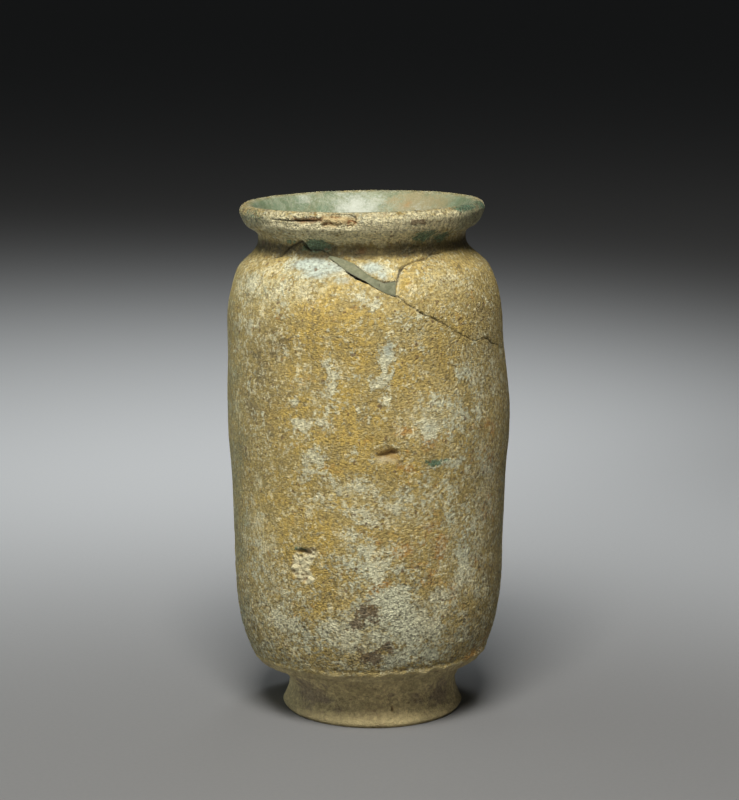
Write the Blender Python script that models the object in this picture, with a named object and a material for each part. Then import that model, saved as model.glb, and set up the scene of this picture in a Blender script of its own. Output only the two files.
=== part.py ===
# A small weathered glazed bottle: a drum-shaped body on a foot ring, with a short neck and a flared lip.
# It was thrown in two halves, leans a little, has been broken at the shoulder and glued together again,
# and one gap of the break is closed with a strip of grey-green fill. Metres, +Z up, front towards -Y.
# The origin is on the surface that the foot stands on, under the middle of the body.
import math

import bmesh
import bpy
from mathutils import Vector
from mathutils.geometry import interpolate_bezier

# Heights are measured from the ground, and drops are measured down from the crest of the lip.
HEIGHT = 0.1400
LIP_CREST_RADIUS = 0.0309
LIP_RADIUS = 0.0332
LIP_DROP = 0.0023
LIP_UNDER_RADIUS = 0.0315
LIP_UNDER_DROP = 0.0056
NECK_RADIUS = 0.0281
NECK_TOP_DROP = 0.0083
NECK_DROP = 0.0104
SHOULDER_TURN_RADIUS = 0.0343
SHOULDER_TURN_DROP = 0.0179
SHOULDER_RADIUS = 0.0363
SHOULDER_DROP = 0.0237
CHEST_RADIUS = 0.0376
CHEST_DROP = 0.0400
UPPER_BODY_RADIUS = 0.0385
UPPER_BODY_HEIGHT = 0.0766
JOIN_RADIUS = 0.0377
JOIN_HEIGHT = 0.0671
LOWER_BODY_RADIUS = 0.0369
LOWER_BODY_HEIGHT = 0.0470
BELLY_ROUNDNESS = 3.1
GLAZE_EDGE_RADIUS = 0.0319
GLAZE_EDGE_HEIGHT = 0.0163
GLAZE_THICKNESS = 0.0005
BELLY_EDGE_RADIUS = 0.0313
BELLY_EDGE_HEIGHT = 0.0150
UNDERSIDE_RADIUS = 0.0263
UNDERSIDE_HEIGHT = 0.0134

FOOT_HEIGHT = 0.0080
FOOT_WAIST_RADIUS = 0.0229
FOOT_RADIUS = 0.0250
FOOT_EDGE = 0.0010
FOOT_RING_WIDTH = 0.0065
FOOT_RECESS = 0.0030

WALL = 0.0050
THROAT_WALL = 0.0046
FLOOR = 0.0095
FLOOR_CORNER = 0.0090

# How far each level stands to the right of the origin, and how much the whole bottle above its level
# foot dips to the left.
FOOT_OFFSET = 0.0008
BODY_OFFSET = -0.0002
SHOULDER_OFFSET = -0.0015
RIM_OFFSET = -0.0020
TILT = math.radians(1.0)
OVAL = 0.0045
OVAL_ANGLE = math.radians(25)

SEGMENTS = 60

# Breaks are given by their angle from the front, in degrees, positive to the right, and by their drop
# below the crest of the lip, in metres.
FILL_LOWER_EDGE = (
    (-18.2, 0.0119),
    (-13.0, 0.0132),
    (-7.4, 0.0151),
    (-2.6, 0.0164),
    (1.2, 0.0174),
    (5.2, 0.0191),
    (9.2, 0.0205),
    (13.4, 0.0215),
)
FILL_UPPER_EDGE = (
    (-17.4, 0.0114),
    (-13.4, 0.0117),
    (-8.4, 0.0125),
    (-3.8, 0.0133),
    (-0.2, 0.0147),
    (4.0, 0.0165),
    (8.8, 0.0179),
    (14.4, 0.0176),
)
FILL_DEPTH = 0.0032
FILL_SUNK = 0.0002
FILL_GAP = 0.0003
FILL_START = 0.5

SHOULDER_CRACK = (
    (12.6, 0.0208),
    (19.4, 0.0240),
    (24.6, 0.0262),
    (29.8, 0.0278),
    (35.4, 0.0300),
    (40.6, 0.0320),
    (46.6, 0.0339),
    (52.0, 0.0350),
    (61.0, 0.0354),
    (69.4, 0.0377),
    (77.4, 0.0394),
    (92.0, 0.0406),
    (106.0, 0.0385),
    (120.0, 0.0327),
    (133.0, 0.0264),
    (146.0, 0.0217),
    (158.0, 0.0168),
    (167.0, 0.0132),
)
SHARD_CRACK = (
    (14.4, 0.0186),
    (17.2, 0.0157),
    (18.4, 0.0148),
    (22.0, 0.0140),
    (27.4, 0.0133),
    (33.2, 0.0132),
    (37.8, 0.0122),
    (45.0, 0.0120),
    (58.0, 0.0112),
)
NECK_CRACK = (
    (-54.0, 0.0130),
    (-47.2, 0.0122),
    (-43.4, 0.0103),
    (-39.8, 0.0092),
    (-33.4, 0.0082),
    (-31.0, 0.0095),
    (-28.4, 0.0103),
    (-22.6, 0.0101),
    (-15.4, 0.0121),
)
CRACK_RADIUS = 0.00042
LIP_SCAR = (
    (-46.0, 0.0022, 0.35),
    (-41.0, 0.0018, 0.70),
    (-34.0, 0.0015, 1.00),
    (-27.0, 0.0018, 0.92),
    (-21.0, 0.0015, 0.80),
    (-15.0, 0.0022, 1.10),
    (-8.0, 0.0018, 1.15),
    (-3.5, 0.0016, 0.75),
    (0.0, 0.0017, 0.35),
)
LIP_SCAR_RADIUS = 0.0019
LIP_SCAR_DEPTH = 0.0007

# Each pit is its angle, its height and its half width, half height and depth.
PIT_MIDDLE = (7.4, 0.0784, 0.0030, 0.0013, 0.0016)
PIT_LOWER = (-27.2, 0.0515, 0.0026, 0.0009, 0.0012)
FLAKED_PATCH = (-27.4, 0.0464, 0.0032, 0.0040, 0.0006)
FOOT_PIT = (13.2, 0.0053, 0.0006, 0.0006, 0.0009)


def ramp(value, low, high):
    """Rises smoothly from 0 at low to 1 at high."""
    share = min(1.0, max(0.0, (value - low) / (high - low)))
    return share * share * (3 - 2 * share)


def curve_through(stations, steps):
    """Points of a smooth curve through stations, each (radius, height), with steps to each stretch."""
    knots = [Vector(station) for station in stations]
    held = [2 * knots[0] - knots[1], *knots, 2 * knots[-1] - knots[-2]]
    slopes = []
    for before, here, after in zip(held, held[1:], held[2:]):
        low, high = (here - before).length, (after - here).length
        slopes.append(((here - before) * high / low + (after - here) * low / high) / (low + high))
    points = []
    for start, end, leaving, arriving in zip(knots, knots[1:], slopes, slopes[1:]):
        third = (end - start).length / 3
        handles = (start + leaving * third, end - arriving * third)
        points += interpolate_bezier(start, *handles, end, steps + 1)[:-1]
    return [(point[0], point[1]) for point in points] + [tuple(stations[-1])]


def rounded(start, end, roundness, steps):
    """Points of an arc that leaves start turning and reaches end upright, without start itself."""
    points = []
    for step in range(1, steps + 1):
        t = (step / steps) ** 1.4
        radius = start[0] + (end[0] - start[0]) * (1 - (1 - t) ** roundness)
        points.append((radius, start[1] + (end[1] - start[1]) * t))
    return points


def foot_outline():
    """Foot from the middle of its recess to the glaze edge under the belly."""
    ring_radius = FOOT_RADIUS - FOOT_EDGE
    hollow_radius = ring_radius - FOOT_RING_WIDTH
    foot_side = curve_through(
        (
            (FOOT_RADIUS, FOOT_EDGE),
            (FOOT_WAIST_RADIUS + (FOOT_RADIUS - FOOT_WAIST_RADIUS) * 0.3, FOOT_HEIGHT * 0.55),
            (FOOT_WAIST_RADIUS, FOOT_HEIGHT),
        ),
        3,
    )
    return [
        (0.0, FOOT_RECESS),
        (hollow_radius * 0.55, FOOT_RECESS),
        (hollow_radius - FOOT_EDGE, FOOT_RECESS),
        (hollow_radius, FOOT_EDGE),
        (hollow_radius + FOOT_EDGE, 0.0),
        (ring_radius, 0.0),
        *foot_side,
        (UNDERSIDE_RADIUS, UNDERSIDE_HEIGHT),
        (BELLY_EDGE_RADIUS, BELLY_EDGE_HEIGHT),
        (GLAZE_EDGE_RADIUS, GLAZE_EDGE_HEIGHT),
    ]


def skin_outline():
    """Glazed outside, from the thick edge of the glaze up to the widest ring of the lip."""
    start = (GLAZE_EDGE_RADIUS + GLAZE_THICKNESS, GLAZE_EDGE_HEIGHT + GLAZE_THICKNESS)
    lower = (LOWER_BODY_RADIUS, LOWER_BODY_HEIGHT)
    upper_half = curve_through(
        (
            lower,
            (JOIN_RADIUS, JOIN_HEIGHT),
            (UPPER_BODY_RADIUS, UPPER_BODY_HEIGHT),
            (CHEST_RADIUS, HEIGHT - CHEST_DROP),
            (SHOULDER_RADIUS, HEIGHT - SHOULDER_DROP),
            (SHOULDER_TURN_RADIUS, HEIGHT - SHOULDER_TURN_DROP),
            (NECK_RADIUS, HEIGHT - NECK_DROP),
            (NECK_RADIUS, HEIGHT - NECK_TOP_DROP),
            (LIP_UNDER_RADIUS, HEIGHT - LIP_UNDER_DROP),
            (LIP_RADIUS, HEIGHT - LIP_DROP),
        ),
        2,
    )
    return [start] + rounded(start, lower, BELLY_ROUNDNESS, 6)[:-1] + upper_half


def lip_outline():
    """Round top of the lip, from just over its widest ring to its crest."""
    points = []
    for degrees in (30, 60, 90):
        turn = math.radians(degrees)
        radius = LIP_CREST_RADIUS + (LIP_RADIUS - LIP_CREST_RADIUS) * math.cos(turn)
        points.append((radius, HEIGHT - LIP_DROP * (1 - math.sin(turn))))
    return points


def inner_outline():
    """Inside, from the crest of the lip down the funnel, the throat and the wall to the middle of the floor."""
    floor = FOOT_RECESS + FLOOR
    down = curve_through(
        (
            (LIP_CREST_RADIUS - LIP_DROP * 0.7, HEIGHT - LIP_DROP * 0.3),
            (LIP_UNDER_RADIUS - WALL, HEIGHT - LIP_UNDER_DROP * 0.75),
            (NECK_RADIUS - THROAT_WALL, HEIGHT - NECK_DROP),
            (SHOULDER_TURN_RADIUS - WALL * 1.2, HEIGHT - SHOULDER_TURN_DROP - WALL * 0.6),
            (SHOULDER_RADIUS - WALL, HEIGHT - SHOULDER_DROP - WALL * 0.6),
            (CHEST_RADIUS - WALL, HEIGHT - CHEST_DROP),
            (UPPER_BODY_RADIUS - WALL, UPPER_BODY_HEIGHT),
            (JOIN_RADIUS - WALL, JOIN_HEIGHT),
            (LOWER_BODY_RADIUS - WALL, LOWER_BODY_HEIGHT),
        ),
        2,
    )
    corner = (GLAZE_EDGE_RADIUS - FLOOR_CORNER, floor + FLOOR_CORNER / 2)
    wall = rounded(corner, down[-1], BELLY_ROUNDNESS, 5)[:-1]
    return [
        *down,
        *reversed(wall),
        corner,
        (corner[0] - FLOOR_CORNER * 0.45, floor + FLOOR_CORNER * 0.1),
        (corner[0] / 2, floor),
        (0.0, floor),
    ]


def centre_offset(height):
    """How far the middle of the bottle stands to the right of the origin at this height."""
    stations = (
        (0.0, FOOT_OFFSET),
        (FOOT_HEIGHT, FOOT_OFFSET),
        (GLAZE_EDGE_HEIGHT, BODY_OFFSET),
        (UPPER_BODY_HEIGHT, BODY_OFFSET),
        (HEIGHT - SHOULDER_DROP, SHOULDER_OFFSET),
        (HEIGHT - NECK_DROP, RIM_OFFSET),
    )
    offset = FOOT_OFFSET
    for (low, before), (high, after) in zip(stations, stations[1:]):
        offset += (after - before) * ramp(height, low, high)
    return offset


def hand_thrown(x, y, z):
    """Where a point of the true turned form lies on the leaning, slightly oval bottle."""
    oval = 1 + OVAL * math.cos(2 * (math.atan2(x, -y) - OVAL_ANGLE))
    x, y = x * oval + centre_offset(z), y * oval
    return x, y, z + x * math.tan(TILT) * ramp(z, FOOT_HEIGHT / 4, FOOT_HEIGHT * 1.5)


def skin_radius(height):
    """Radius of the turned form at a height between the ground and the widest ring of the lip."""
    outline = foot_outline()[5:] + skin_outline()
    for (low_radius, low), (high_radius, high) in zip(outline, outline[1:]):
        if low <= height <= high:
            return low_radius + (high_radius - low_radius) * (height - low) / max(high - low, 1e-9)
    return LIP_RADIUS


def on_skin(degrees, height, inward=0.0):
    """A point on the outer skin, or under it by inward."""
    angle = math.radians(degrees)
    radius = skin_radius(height) - inward
    return hand_thrown(radius * math.sin(angle), -radius * math.cos(angle), height)


def new_object(name, mesh):
    obj = bpy.data.objects.new(name, mesh)
    bpy.context.scene.collection.objects.link(obj)
    return obj


def turned_mesh(outline, name):
    """The outline, a list of (radius, height), spun round the vertical axis and shaped by hand."""
    bm = bmesh.new()
    verts = [bm.verts.new((0.0, -radius, height)) for radius, height in outline]
    edges = [bm.edges.new(pair) for pair in zip(verts, verts[1:])]
    bmesh.ops.spin(
        bm,
        geom=verts + edges,
        cent=(0, 0, 0),
        axis=(0, 0, 1),
        angle=math.tau,
        steps=SEGMENTS,
        use_merge=True,
    )
    bmesh.ops.remove_doubles(bm, verts=bm.verts, dist=1e-6)
    for vert in bm.verts:
        vert.co = hand_thrown(*vert.co)
    bmesh.ops.recalc_face_normals(bm, faces=bm.faces)
    mesh = bpy.data.meshes.new(name)
    bm.to_mesh(mesh)
    bm.free()
    return mesh


def helper(obj):
    """Marks an object as a cutter, which is no part of the bottle."""
    obj.hide_render = True
    obj.display_type = "WIRE"
    return obj


def tube_cutter(name, points, radius):
    """A thin tube along points, each (x, y, z, share of the radius), that scores a groove."""
    curve = bpy.data.curves.new(name, "CURVE")
    curve.dimensions = "3D"
    curve.bevel_depth = radius
    curve.bevel_resolution = 1
    curve.use_fill_caps = True
    spline = curve.splines.new("POLY")
    spline.points.add(len(points) - 1)
    for control, (x, y, z, share) in zip(spline.points, points):
        control.co = (x, y, z, 1.0)
        control.radius = share
    source = new_object(name + "_line", curve)
    mesh = bpy.data.meshes.new_from_object(source.evaluated_get(bpy.context.evaluated_depsgraph_get()))
    bpy.data.objects.remove(source)
    return helper(new_object(name, mesh))


def crack_cutter(name, path):
    """A crack along path, each point an angle and a drop, tapered at both ends."""
    points = []
    last = len(path) - 1
    for index, (degrees, drop) in enumerate(path):
        share = 0.5 if index in (0, last) else 1.0
        points.append((*on_skin(degrees, HEIGHT - drop), share))
    return tube_cutter(name, points, CRACK_RADIUS)


def lip_scar_cutter():
    """A flaked scar along the outside of the lip."""
    lift = LIP_SCAR_RADIUS - LIP_SCAR_DEPTH
    points = []
    for degrees, drop, share in LIP_SCAR:
        points.append((*on_skin(degrees, HEIGHT - drop, inward=-lift), share))
    return tube_cutter("lip_scar_cutter", points, LIP_SCAR_RADIUS)


def pit_cutter(name, pit):
    """A shallow hollow in the skin, cut by a squashed ball."""
    degrees, height, half_width, half_height, depth = pit
    bm = bmesh.new()
    bmesh.ops.create_icosphere(bm, subdivisions=2, radius=1.0)
    for vert in bm.verts:
        x, y, z = vert.co
        uneven = 1 + 0.12 * math.sin(5 * x + 3 * z) + 0.10 * math.cos(4 * z - 2 * x)
        vert.co = (x * half_width * uneven, y * depth, z * half_height * uneven)
    mesh = bpy.data.meshes.new(name)
    bm.to_mesh(mesh)
    bm.free()
    cutter = helper(new_object(name, mesh))
    cutter.location = on_skin(degrees, height)
    cutter.rotation_euler = (0.0, 0.0, math.radians(degrees))
    return cutter


def between(edge, position):
    """The (angle, drop) at a position along an edge, counted in its points."""
    index = min(int(position), len(edge) - 2)
    share = position - index
    return tuple(a + (b - a) * share for a, b in zip(edge[index], edge[index + 1]))


def fill_mesh(name, inset, top, bottom, stations=15, rows=4):
    """The strip between the two edges of the fill, from inward depth top to inward depth bottom.

    The strip is drawn in by inset on every side, so that the fill clears the groove that holds it.
    """
    last = len(FILL_LOWER_EDGE) - 1
    tips = [on_skin(degrees, HEIGHT - drop) for degrees, drop in (FILL_LOWER_EDGE[0], FILL_LOWER_EDGE[last])]
    pace = math.dist(*tips) / last
    start = FILL_START + inset / pace
    end = last - inset / pace
    bm = bmesh.new()
    rings = []
    for station in range(stations):
        position = start + (end - start) * station / (stations - 1)
        low, high = between(FILL_LOWER_EDGE, position), between(FILL_UPPER_EDGE, position)
        width = math.dist(on_skin(low[0], HEIGHT - low[1]), on_skin(high[0], HEIGHT - high[1]))
        kept = inset / width
        ring = []
        for row in range(rows):
            share = kept + (1 - 2 * kept) * row / (rows - 1)
            degrees, drop = (a + (b - a) * share for a, b in zip(low, high))
            ring.append(on_skin(degrees, HEIGHT - drop, top))
        for row in reversed(range(rows)):
            share = kept + (1 - 2 * kept) * row / (rows - 1)
            degrees, drop = (a + (b - a) * share for a, b in zip(low, high))
            ring.append(on_skin(degrees, HEIGHT - drop, bottom))
        rings.append([bm.verts.new(point) for point in ring])
    for before, after in zip(rings, rings[1:]):
        for index in range(len(before)):
            beyond = (index + 1) % len(before)
            bm.faces.new((before[index], before[beyond], after[beyond], after[index]))
    for ring in (rings[0], rings[-1]):
        for row in range(rows - 1):
            bm.faces.new((ring[row], ring[row + 1], ring[-row - 2], ring[-row - 1]))
    bmesh.ops.recalc_face_normals(bm, faces=bm.faces)
    mesh = bpy.data.meshes.new(name)
    bm.to_mesh(mesh)
    bm.free()
    return mesh


def clay_material():
    """Pale clay under a decayed yellowish glaze."""
    material = bpy.data.materials.new("weathered_glaze")
    material.use_nodes = True
    shader = material.node_tree.nodes["Principled BSDF"]
    shader.inputs["Base Color"].default_value = (0.46, 0.35, 0.18, 1.0)
    shader.inputs["Roughness"].default_value = 0.72
    shader.inputs["Metallic"].default_value = 0.0
    return material


def fill_material():
    """Grey-green repair fill."""
    material = bpy.data.materials.new("repair_fill")
    material.use_nodes = True
    shader = material.node_tree.nodes["Principled BSDF"]
    shader.inputs["Base Color"].default_value = (0.22, 0.23, 0.15, 1.0)
    shader.inputs["Roughness"].default_value = 0.85
    shader.inputs["Metallic"].default_value = 0.0
    return material


def finish_round(obj, material):
    obj.data.materials.append(material)
    obj.data.shade_smooth()
    obj.data.set_sharp_from_angle(angle=math.radians(40))
    return obj


def make_vessel():
    """The fired bottle in one piece, with its breaks cut into it."""
    outline = foot_outline() + skin_outline() + lip_outline() + inner_outline()
    vessel = finish_round(new_object("vessel", turned_mesh(outline, "vessel")), clay_material())
    cutters = [
        helper(new_object("fill_groove_cutter", fill_mesh("fill_groove_cutter", 0.0, -FILL_DEPTH, FILL_DEPTH))),
        crack_cutter("shoulder_crack_cutter", SHOULDER_CRACK),
        crack_cutter("shard_crack_cutter", SHARD_CRACK),
        crack_cutter("neck_crack_cutter", NECK_CRACK),
        lip_scar_cutter(),
        pit_cutter("pit_middle_cutter", PIT_MIDDLE),
        pit_cutter("flaked_patch_cutter", FLAKED_PATCH),
        pit_cutter("pit_lower_cutter", PIT_LOWER),
        pit_cutter("foot_pit_cutter", FOOT_PIT),
    ]
    for cutter in cutters:
        cut = vessel.modifiers.new(cutter.name, "BOOLEAN")
        cut.operation = "DIFFERENCE"
        cut.solver = "EXACT"
        cut.object = cutter
    return vessel


def make_fill():
    """The strip of fill that lies in the groove of the break."""
    mesh = fill_mesh("repair_fill", FILL_GAP, FILL_SUNK, FILL_DEPTH - FILL_GAP)
    return finish_round(new_object("repair_fill", mesh), fill_material())


def main():
    for obj in list(bpy.data.objects):
        bpy.data.objects.remove(obj)
    make_vessel()
    make_fill()


main()
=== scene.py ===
# Small weathered glazed bottle on a foot ring, seen slightly from above. Metres, +Z up, front towards -Y.
import math

import bmesh
import bpy
import numpy as np
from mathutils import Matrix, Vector, noise
from mathutils.geometry import interpolate_bezier


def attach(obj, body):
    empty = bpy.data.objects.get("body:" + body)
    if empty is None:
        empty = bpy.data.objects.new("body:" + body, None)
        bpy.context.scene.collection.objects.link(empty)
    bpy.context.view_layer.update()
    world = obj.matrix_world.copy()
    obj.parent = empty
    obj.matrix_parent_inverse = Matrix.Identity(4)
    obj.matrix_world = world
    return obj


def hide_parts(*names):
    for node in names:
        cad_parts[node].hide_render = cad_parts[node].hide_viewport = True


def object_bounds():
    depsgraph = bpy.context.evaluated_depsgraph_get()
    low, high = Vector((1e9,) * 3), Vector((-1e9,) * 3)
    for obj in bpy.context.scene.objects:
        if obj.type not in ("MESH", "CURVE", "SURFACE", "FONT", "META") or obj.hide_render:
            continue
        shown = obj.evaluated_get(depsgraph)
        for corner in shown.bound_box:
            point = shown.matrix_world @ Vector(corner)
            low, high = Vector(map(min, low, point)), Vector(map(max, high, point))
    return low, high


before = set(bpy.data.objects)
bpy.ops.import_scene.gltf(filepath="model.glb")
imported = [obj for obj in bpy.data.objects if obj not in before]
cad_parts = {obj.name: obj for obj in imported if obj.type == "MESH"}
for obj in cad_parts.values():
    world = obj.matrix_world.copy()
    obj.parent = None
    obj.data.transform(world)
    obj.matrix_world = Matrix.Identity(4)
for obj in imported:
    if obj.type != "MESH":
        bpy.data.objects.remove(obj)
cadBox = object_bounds()
scene = bpy.context.scene

# camera and light
cameraSetup = {
    "place": (0.0, -0.6254, 0.2000),
    "tiltDown": 10.376,
    "lens": 104.76,
    "sensorHeight": 36.0,
    "nearest": 0.01,
}
cameraData = bpy.data.cameras.new("camera")
cameraData.sensor_fit = "VERTICAL"
cameraData.sensor_height = cameraSetup["sensorHeight"]
cameraData.lens = cameraSetup["lens"]
cameraData.clip_start = cameraSetup["nearest"]
camera = bpy.data.objects.new("camera", cameraData)
camera.location = cameraSetup["place"]
camera.rotation_euler = (math.radians(90 - cameraSetup["tiltDown"]), 0, 0)
scene.collection.objects.link(camera)
scene.camera = camera
scene.view_settings.view_transform = "Standard"

studio = {
    # soft lamps: place, aim, size, power, colour
    "soft": {
        "keyLight": ((-0.04, -0.46, 0.76), (0, 0, 0.08), (0.34, 0.26), 8.75, (1.0, 0.98, 0.95)),
        "sideLight": ((-0.50, 0.02, 0.10), (0, 0, 0.07), (0.25, 0.20), 0.47, (0.80, 0.93, 1.0)),
        "frontFill": ((-0.12, -0.72, 0.07), (0, 0, 0.05), (0.40, 0.14), 0.58, (1.0, 0.98, 0.95)),
    },
    # pools of light on the floor: place, aim, cone in degrees, power
    "pools": {
        "rightPool": ((0.19, 0.13, 0.50), (0.19, 0.13, 0.0), 38, 7.4),
        "poolLight": ((0.0, 0.30, 0.55), (-0.13, 0.46, 0.0), 98, 24.5),
    },
    "poolColour": (0.93, 0.97, 1.0),
    "poolLampRadius": 0.08,
    "worldColour": (0.92, 0.97, 1.0),
    "worldStrength": 0.026,
    "floorColour": (0.212, 0.213, 0.211),
    "floorUnevenness": 0.05,
    "floorGrain": 900.0,
    "floorRoughness": 0.85,
    "floorHalfWidth": 30.0,
}


def newLamp(name, kind, place, aim, power, colour):
    data = bpy.data.lights.new(name, kind)
    data.energy = power
    data.color = colour
    lamp = bpy.data.objects.new(name, data)
    lamp.location = place
    lamp.rotation_euler = (Vector(aim) - Vector(place)).to_track_quat("-Z", "Y").to_euler()
    scene.collection.objects.link(lamp)
    return data


for name, (place, aim, size, power, colour) in studio["soft"].items():
    lamp = newLamp(name, "AREA", place, aim, power, colour)
    lamp.shape = "RECTANGLE"
    lamp.size, lamp.size_y = size
for name, (place, aim, cone, power) in studio["pools"].items():
    lamp = newLamp(name, "SPOT", place, aim, power, studio["poolColour"])
    lamp.spot_size = math.radians(cone)
    lamp.spot_blend = 1.0
    lamp.shadow_soft_size = studio["poolLampRadius"]

world = bpy.data.worlds.new("studioAir")
world.use_nodes = True
air = world.node_tree.nodes["Background"]
air.inputs["Color"].default_value = (*studio["worldColour"], 1)
air.inputs["Strength"].default_value = studio["worldStrength"]
scene.world = world
print("camera and light ready")

# shape of the vessel
# Radii and heights in millimetres, as they were thrown: upright and round.
vesselForm = {
    "height": 140.0,
    "lipCrestRadius": 30.9,
    "lipRadius": 33.2,
    "lipDrop": 2.3,
    "lipUnder": (31.5, 5.6),
    "neckTop": (28.1, 8.3),
    "neck": (28.1, 10.4),
    "shoulderTurn": (34.3, 17.9),
    "shoulder": (36.3, 23.7),
    "chest": (37.6, 40.0),
    "upperBody": (38.5, 76.6),
    "join": (37.7, 67.1),
    "lowerBody": (36.9, 47.0),
    "bellyRoundness": 3.1,
    "glazeEdge": (31.9, 16.3),
    "glazeThickness": 0.5,
    "bellyEdge": (31.3, 15.0),
    "underside": (26.3, 13.4),
    "footHeight": 8.0,
    "footWaist": 22.9,
    "footRadius": 25.0,
    "footEdge": 1.0,
    "footRing": 6.5,
    "footRecess": 3.0,
    "wall": 5.0,
    "throatWall": 4.6,
    "floor": 9.5,
    "floorCorner": 9.0,
    "outerSpacing": 0.78,
    "innerSpacing": 3.6,
    "funnelSpacing": 1.0,
    "segments": 304,
}
# How the thrown form leans and bends. Offsets are to the right, in millimetres.
handShape = {
    "offsets": ((0, 0.8), (8.0, 0.8), (16.3, -0.2), (76.6, -0.2), (116.3, -1.5), (129.6, -2.0)),
    "tilt": math.radians(1.0),
    "oval": 0.0045,
    "ovalAngle": math.radians(25),
}


def ramp(value, low, high):
    share = np.clip((value - low) / (high - low), 0.0, 1.0)
    return share * share * (3 - 2 * share)


def curveThrough(stations, steps):
    knots = [Vector(station) for station in stations]
    held = [2 * knots[0] - knots[1], *knots, 2 * knots[-1] - knots[-2]]
    slopes = []
    for before, here, after in zip(held, held[1:], held[2:]):
        low, high = (here - before).length, (after - here).length
        slopes.append(((here - before) * high / low + (after - here) * low / high) / (low + high))
    points = []
    for start, end, leaving, arriving in zip(knots, knots[1:], slopes, slopes[1:]):
        third = (end - start).length / 3
        handles = (start + leaving * third, end - arriving * third)
        points += interpolate_bezier(start, *handles, end, steps + 1)[:-1]
    return [(p[0], p[1]) for p in points] + [tuple(stations[-1])]


def rounded(start, end, roundness, steps):
    points = []
    for step in range(1, steps + 1):
        t = (step / steps) ** 1.4
        radius = start[0] + (end[0] - start[0]) * (1 - (1 - t) ** roundness)
        points.append((radius, start[1] + (end[1] - start[1]) * t))
    return points


def evenly(points, spacing):
    points = np.array(points, float)
    lengths = np.concatenate(([0], np.cumsum(np.hypot(*np.diff(points, axis=0).T))))
    marks = np.linspace(0, lengths[-1], max(2, int(round(lengths[-1] / spacing)) + 1))
    return [(np.interp(m, lengths, points[:, 0]), np.interp(m, lengths, points[:, 1])) for m in marks]


def vesselOutline(form):
    top = form["height"]
    down = lambda station: (station[0], top - station[1])
    ringRadius = form["footRadius"] - form["footEdge"]
    hollow = ringRadius - form["footRing"]
    waist, flare = form["footWaist"], form["footRadius"]
    footUnder = [
        (0, form["footRecess"]),
        (hollow * 0.3, form["footRecess"]),
        (hollow * 0.65, form["footRecess"]),
        (hollow - form["footEdge"], form["footRecess"]),
        (hollow, form["footEdge"]),
        (hollow + form["footEdge"], 0),
        (hollow + 0.35 * form["footRing"], 0),
        (hollow + 0.7 * form["footRing"], 0),
        (ringRadius, 0),
    ]
    footBend = (waist + (flare - waist) * 0.3, form["footHeight"] * 0.55)
    footSide = curveThrough(((flare, form["footEdge"]), footBend, (waist, form["footHeight"])), 12)
    glaze = form["glazeThickness"]
    glazeStart = (form["glazeEdge"][0] + glaze, form["glazeEdge"][1] + glaze)
    belly = rounded(glazeStart, form["lowerBody"], form["bellyRoundness"], 60)[:-1]
    upper = curveThrough(
        (
            form["lowerBody"], form["join"], form["upperBody"], down(form["chest"]), down(form["shoulder"]),
            down(form["shoulderTurn"]), down(form["neck"]), down(form["neckTop"]), down(form["lipUnder"]),
            (form["lipRadius"], top - form["lipDrop"]),
        ),
        24,
    )
    lip = []
    for degrees in range(10, 91, 10):
        turn = math.radians(degrees)
        radius = form["lipCrestRadius"] + (form["lipRadius"] - form["lipCrestRadius"]) * math.cos(turn)
        lip.append((radius, top - form["lipDrop"] * (1 - math.sin(turn))))
    outer = evenly([footUnder[-1], *footSide], form["outerSpacing"])
    outer += evenly([outer[-1], form["underside"], form["bellyEdge"], form["glazeEdge"]], form["outerSpacing"])[1:]
    outer += evenly([glazeStart, *belly, *upper, *lip], form["outerSpacing"])
    wall = form["wall"]
    inside = curveThrough(
        (
            (form["lipCrestRadius"] - form["lipDrop"] * 0.7, top - form["lipDrop"] * 0.3),
            (form["lipUnder"][0] - wall, top - form["lipUnder"][1] * 0.75),
            (form["neck"][0] - form["throatWall"], top - form["neck"][1]),
            (form["shoulderTurn"][0] - wall * 1.2, top - form["shoulderTurn"][1] - wall * 0.6),
            (form["shoulder"][0] - wall, top - form["shoulder"][1] - wall * 0.6),
            (form["chest"][0] - wall, top - form["chest"][1]),
            (form["upperBody"][0] - wall, form["upperBody"][1]),
            (form["join"][0] - wall, form["join"][1]),
            (form["lowerBody"][0] - wall, form["lowerBody"][1]),
        ),
        16,
    )
    floor = form["footRecess"] + form["floor"]
    corner = (form["glazeEdge"][0] - form["floorCorner"], floor + form["floorCorner"] / 2)
    lowWall = rounded(corner, inside[-1], form["bellyRoundness"], 40)[:-1]
    funnel, chamber = inside[:32], inside[32:] + lowWall[::-1]
    bend = (corner[0] - form["floorCorner"] * 0.45, floor + form["floorCorner"] * 0.1)
    bottom = [corner, bend, (corner[0] / 2, floor), (0, floor)]
    inner = evenly(funnel, form["funnelSpacing"]) + evenly(chamber + bottom, form["innerSpacing"])[1:]
    return footUnder[:-1], outer, inner


footUnder, outerLine, innerLine = vesselOutline(vesselForm)
wholeLine = np.array(footUnder + outerLine + innerLine)
print("outline has", len(wholeLine), "rings")


def centreOffset(z):
    offset = np.full_like(z, handShape["offsets"][0][1])
    for (low, before), (high, after) in zip(handShape["offsets"], handShape["offsets"][1:]):
        offset = offset + (after - before) * ramp(z, low, high)
    return offset


def handThrown(points):
    x, y, z = points.T
    oval = 1 + handShape["oval"] * np.cos(2 * (np.arctan2(x, -y) - handShape["ovalAngle"]))
    x, y = x * oval + centreOffset(z), y * oval
    foot = vesselForm["footHeight"]
    return np.stack([x, y, z + x * math.tan(handShape["tilt"]) * ramp(z, foot / 4, foot * 1.5)], 1)


outerArray = np.array(outerLine)


def onSkin(degrees, height, inward=0.0):
    radius = np.interp(height, outerArray[:, 1], outerArray[:, 0]) - inward
    angle = np.radians(degrees)
    return np.stack([radius * np.sin(angle), -radius * np.cos(angle), np.asarray(height, float) + 0 * angle], -1)


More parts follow.
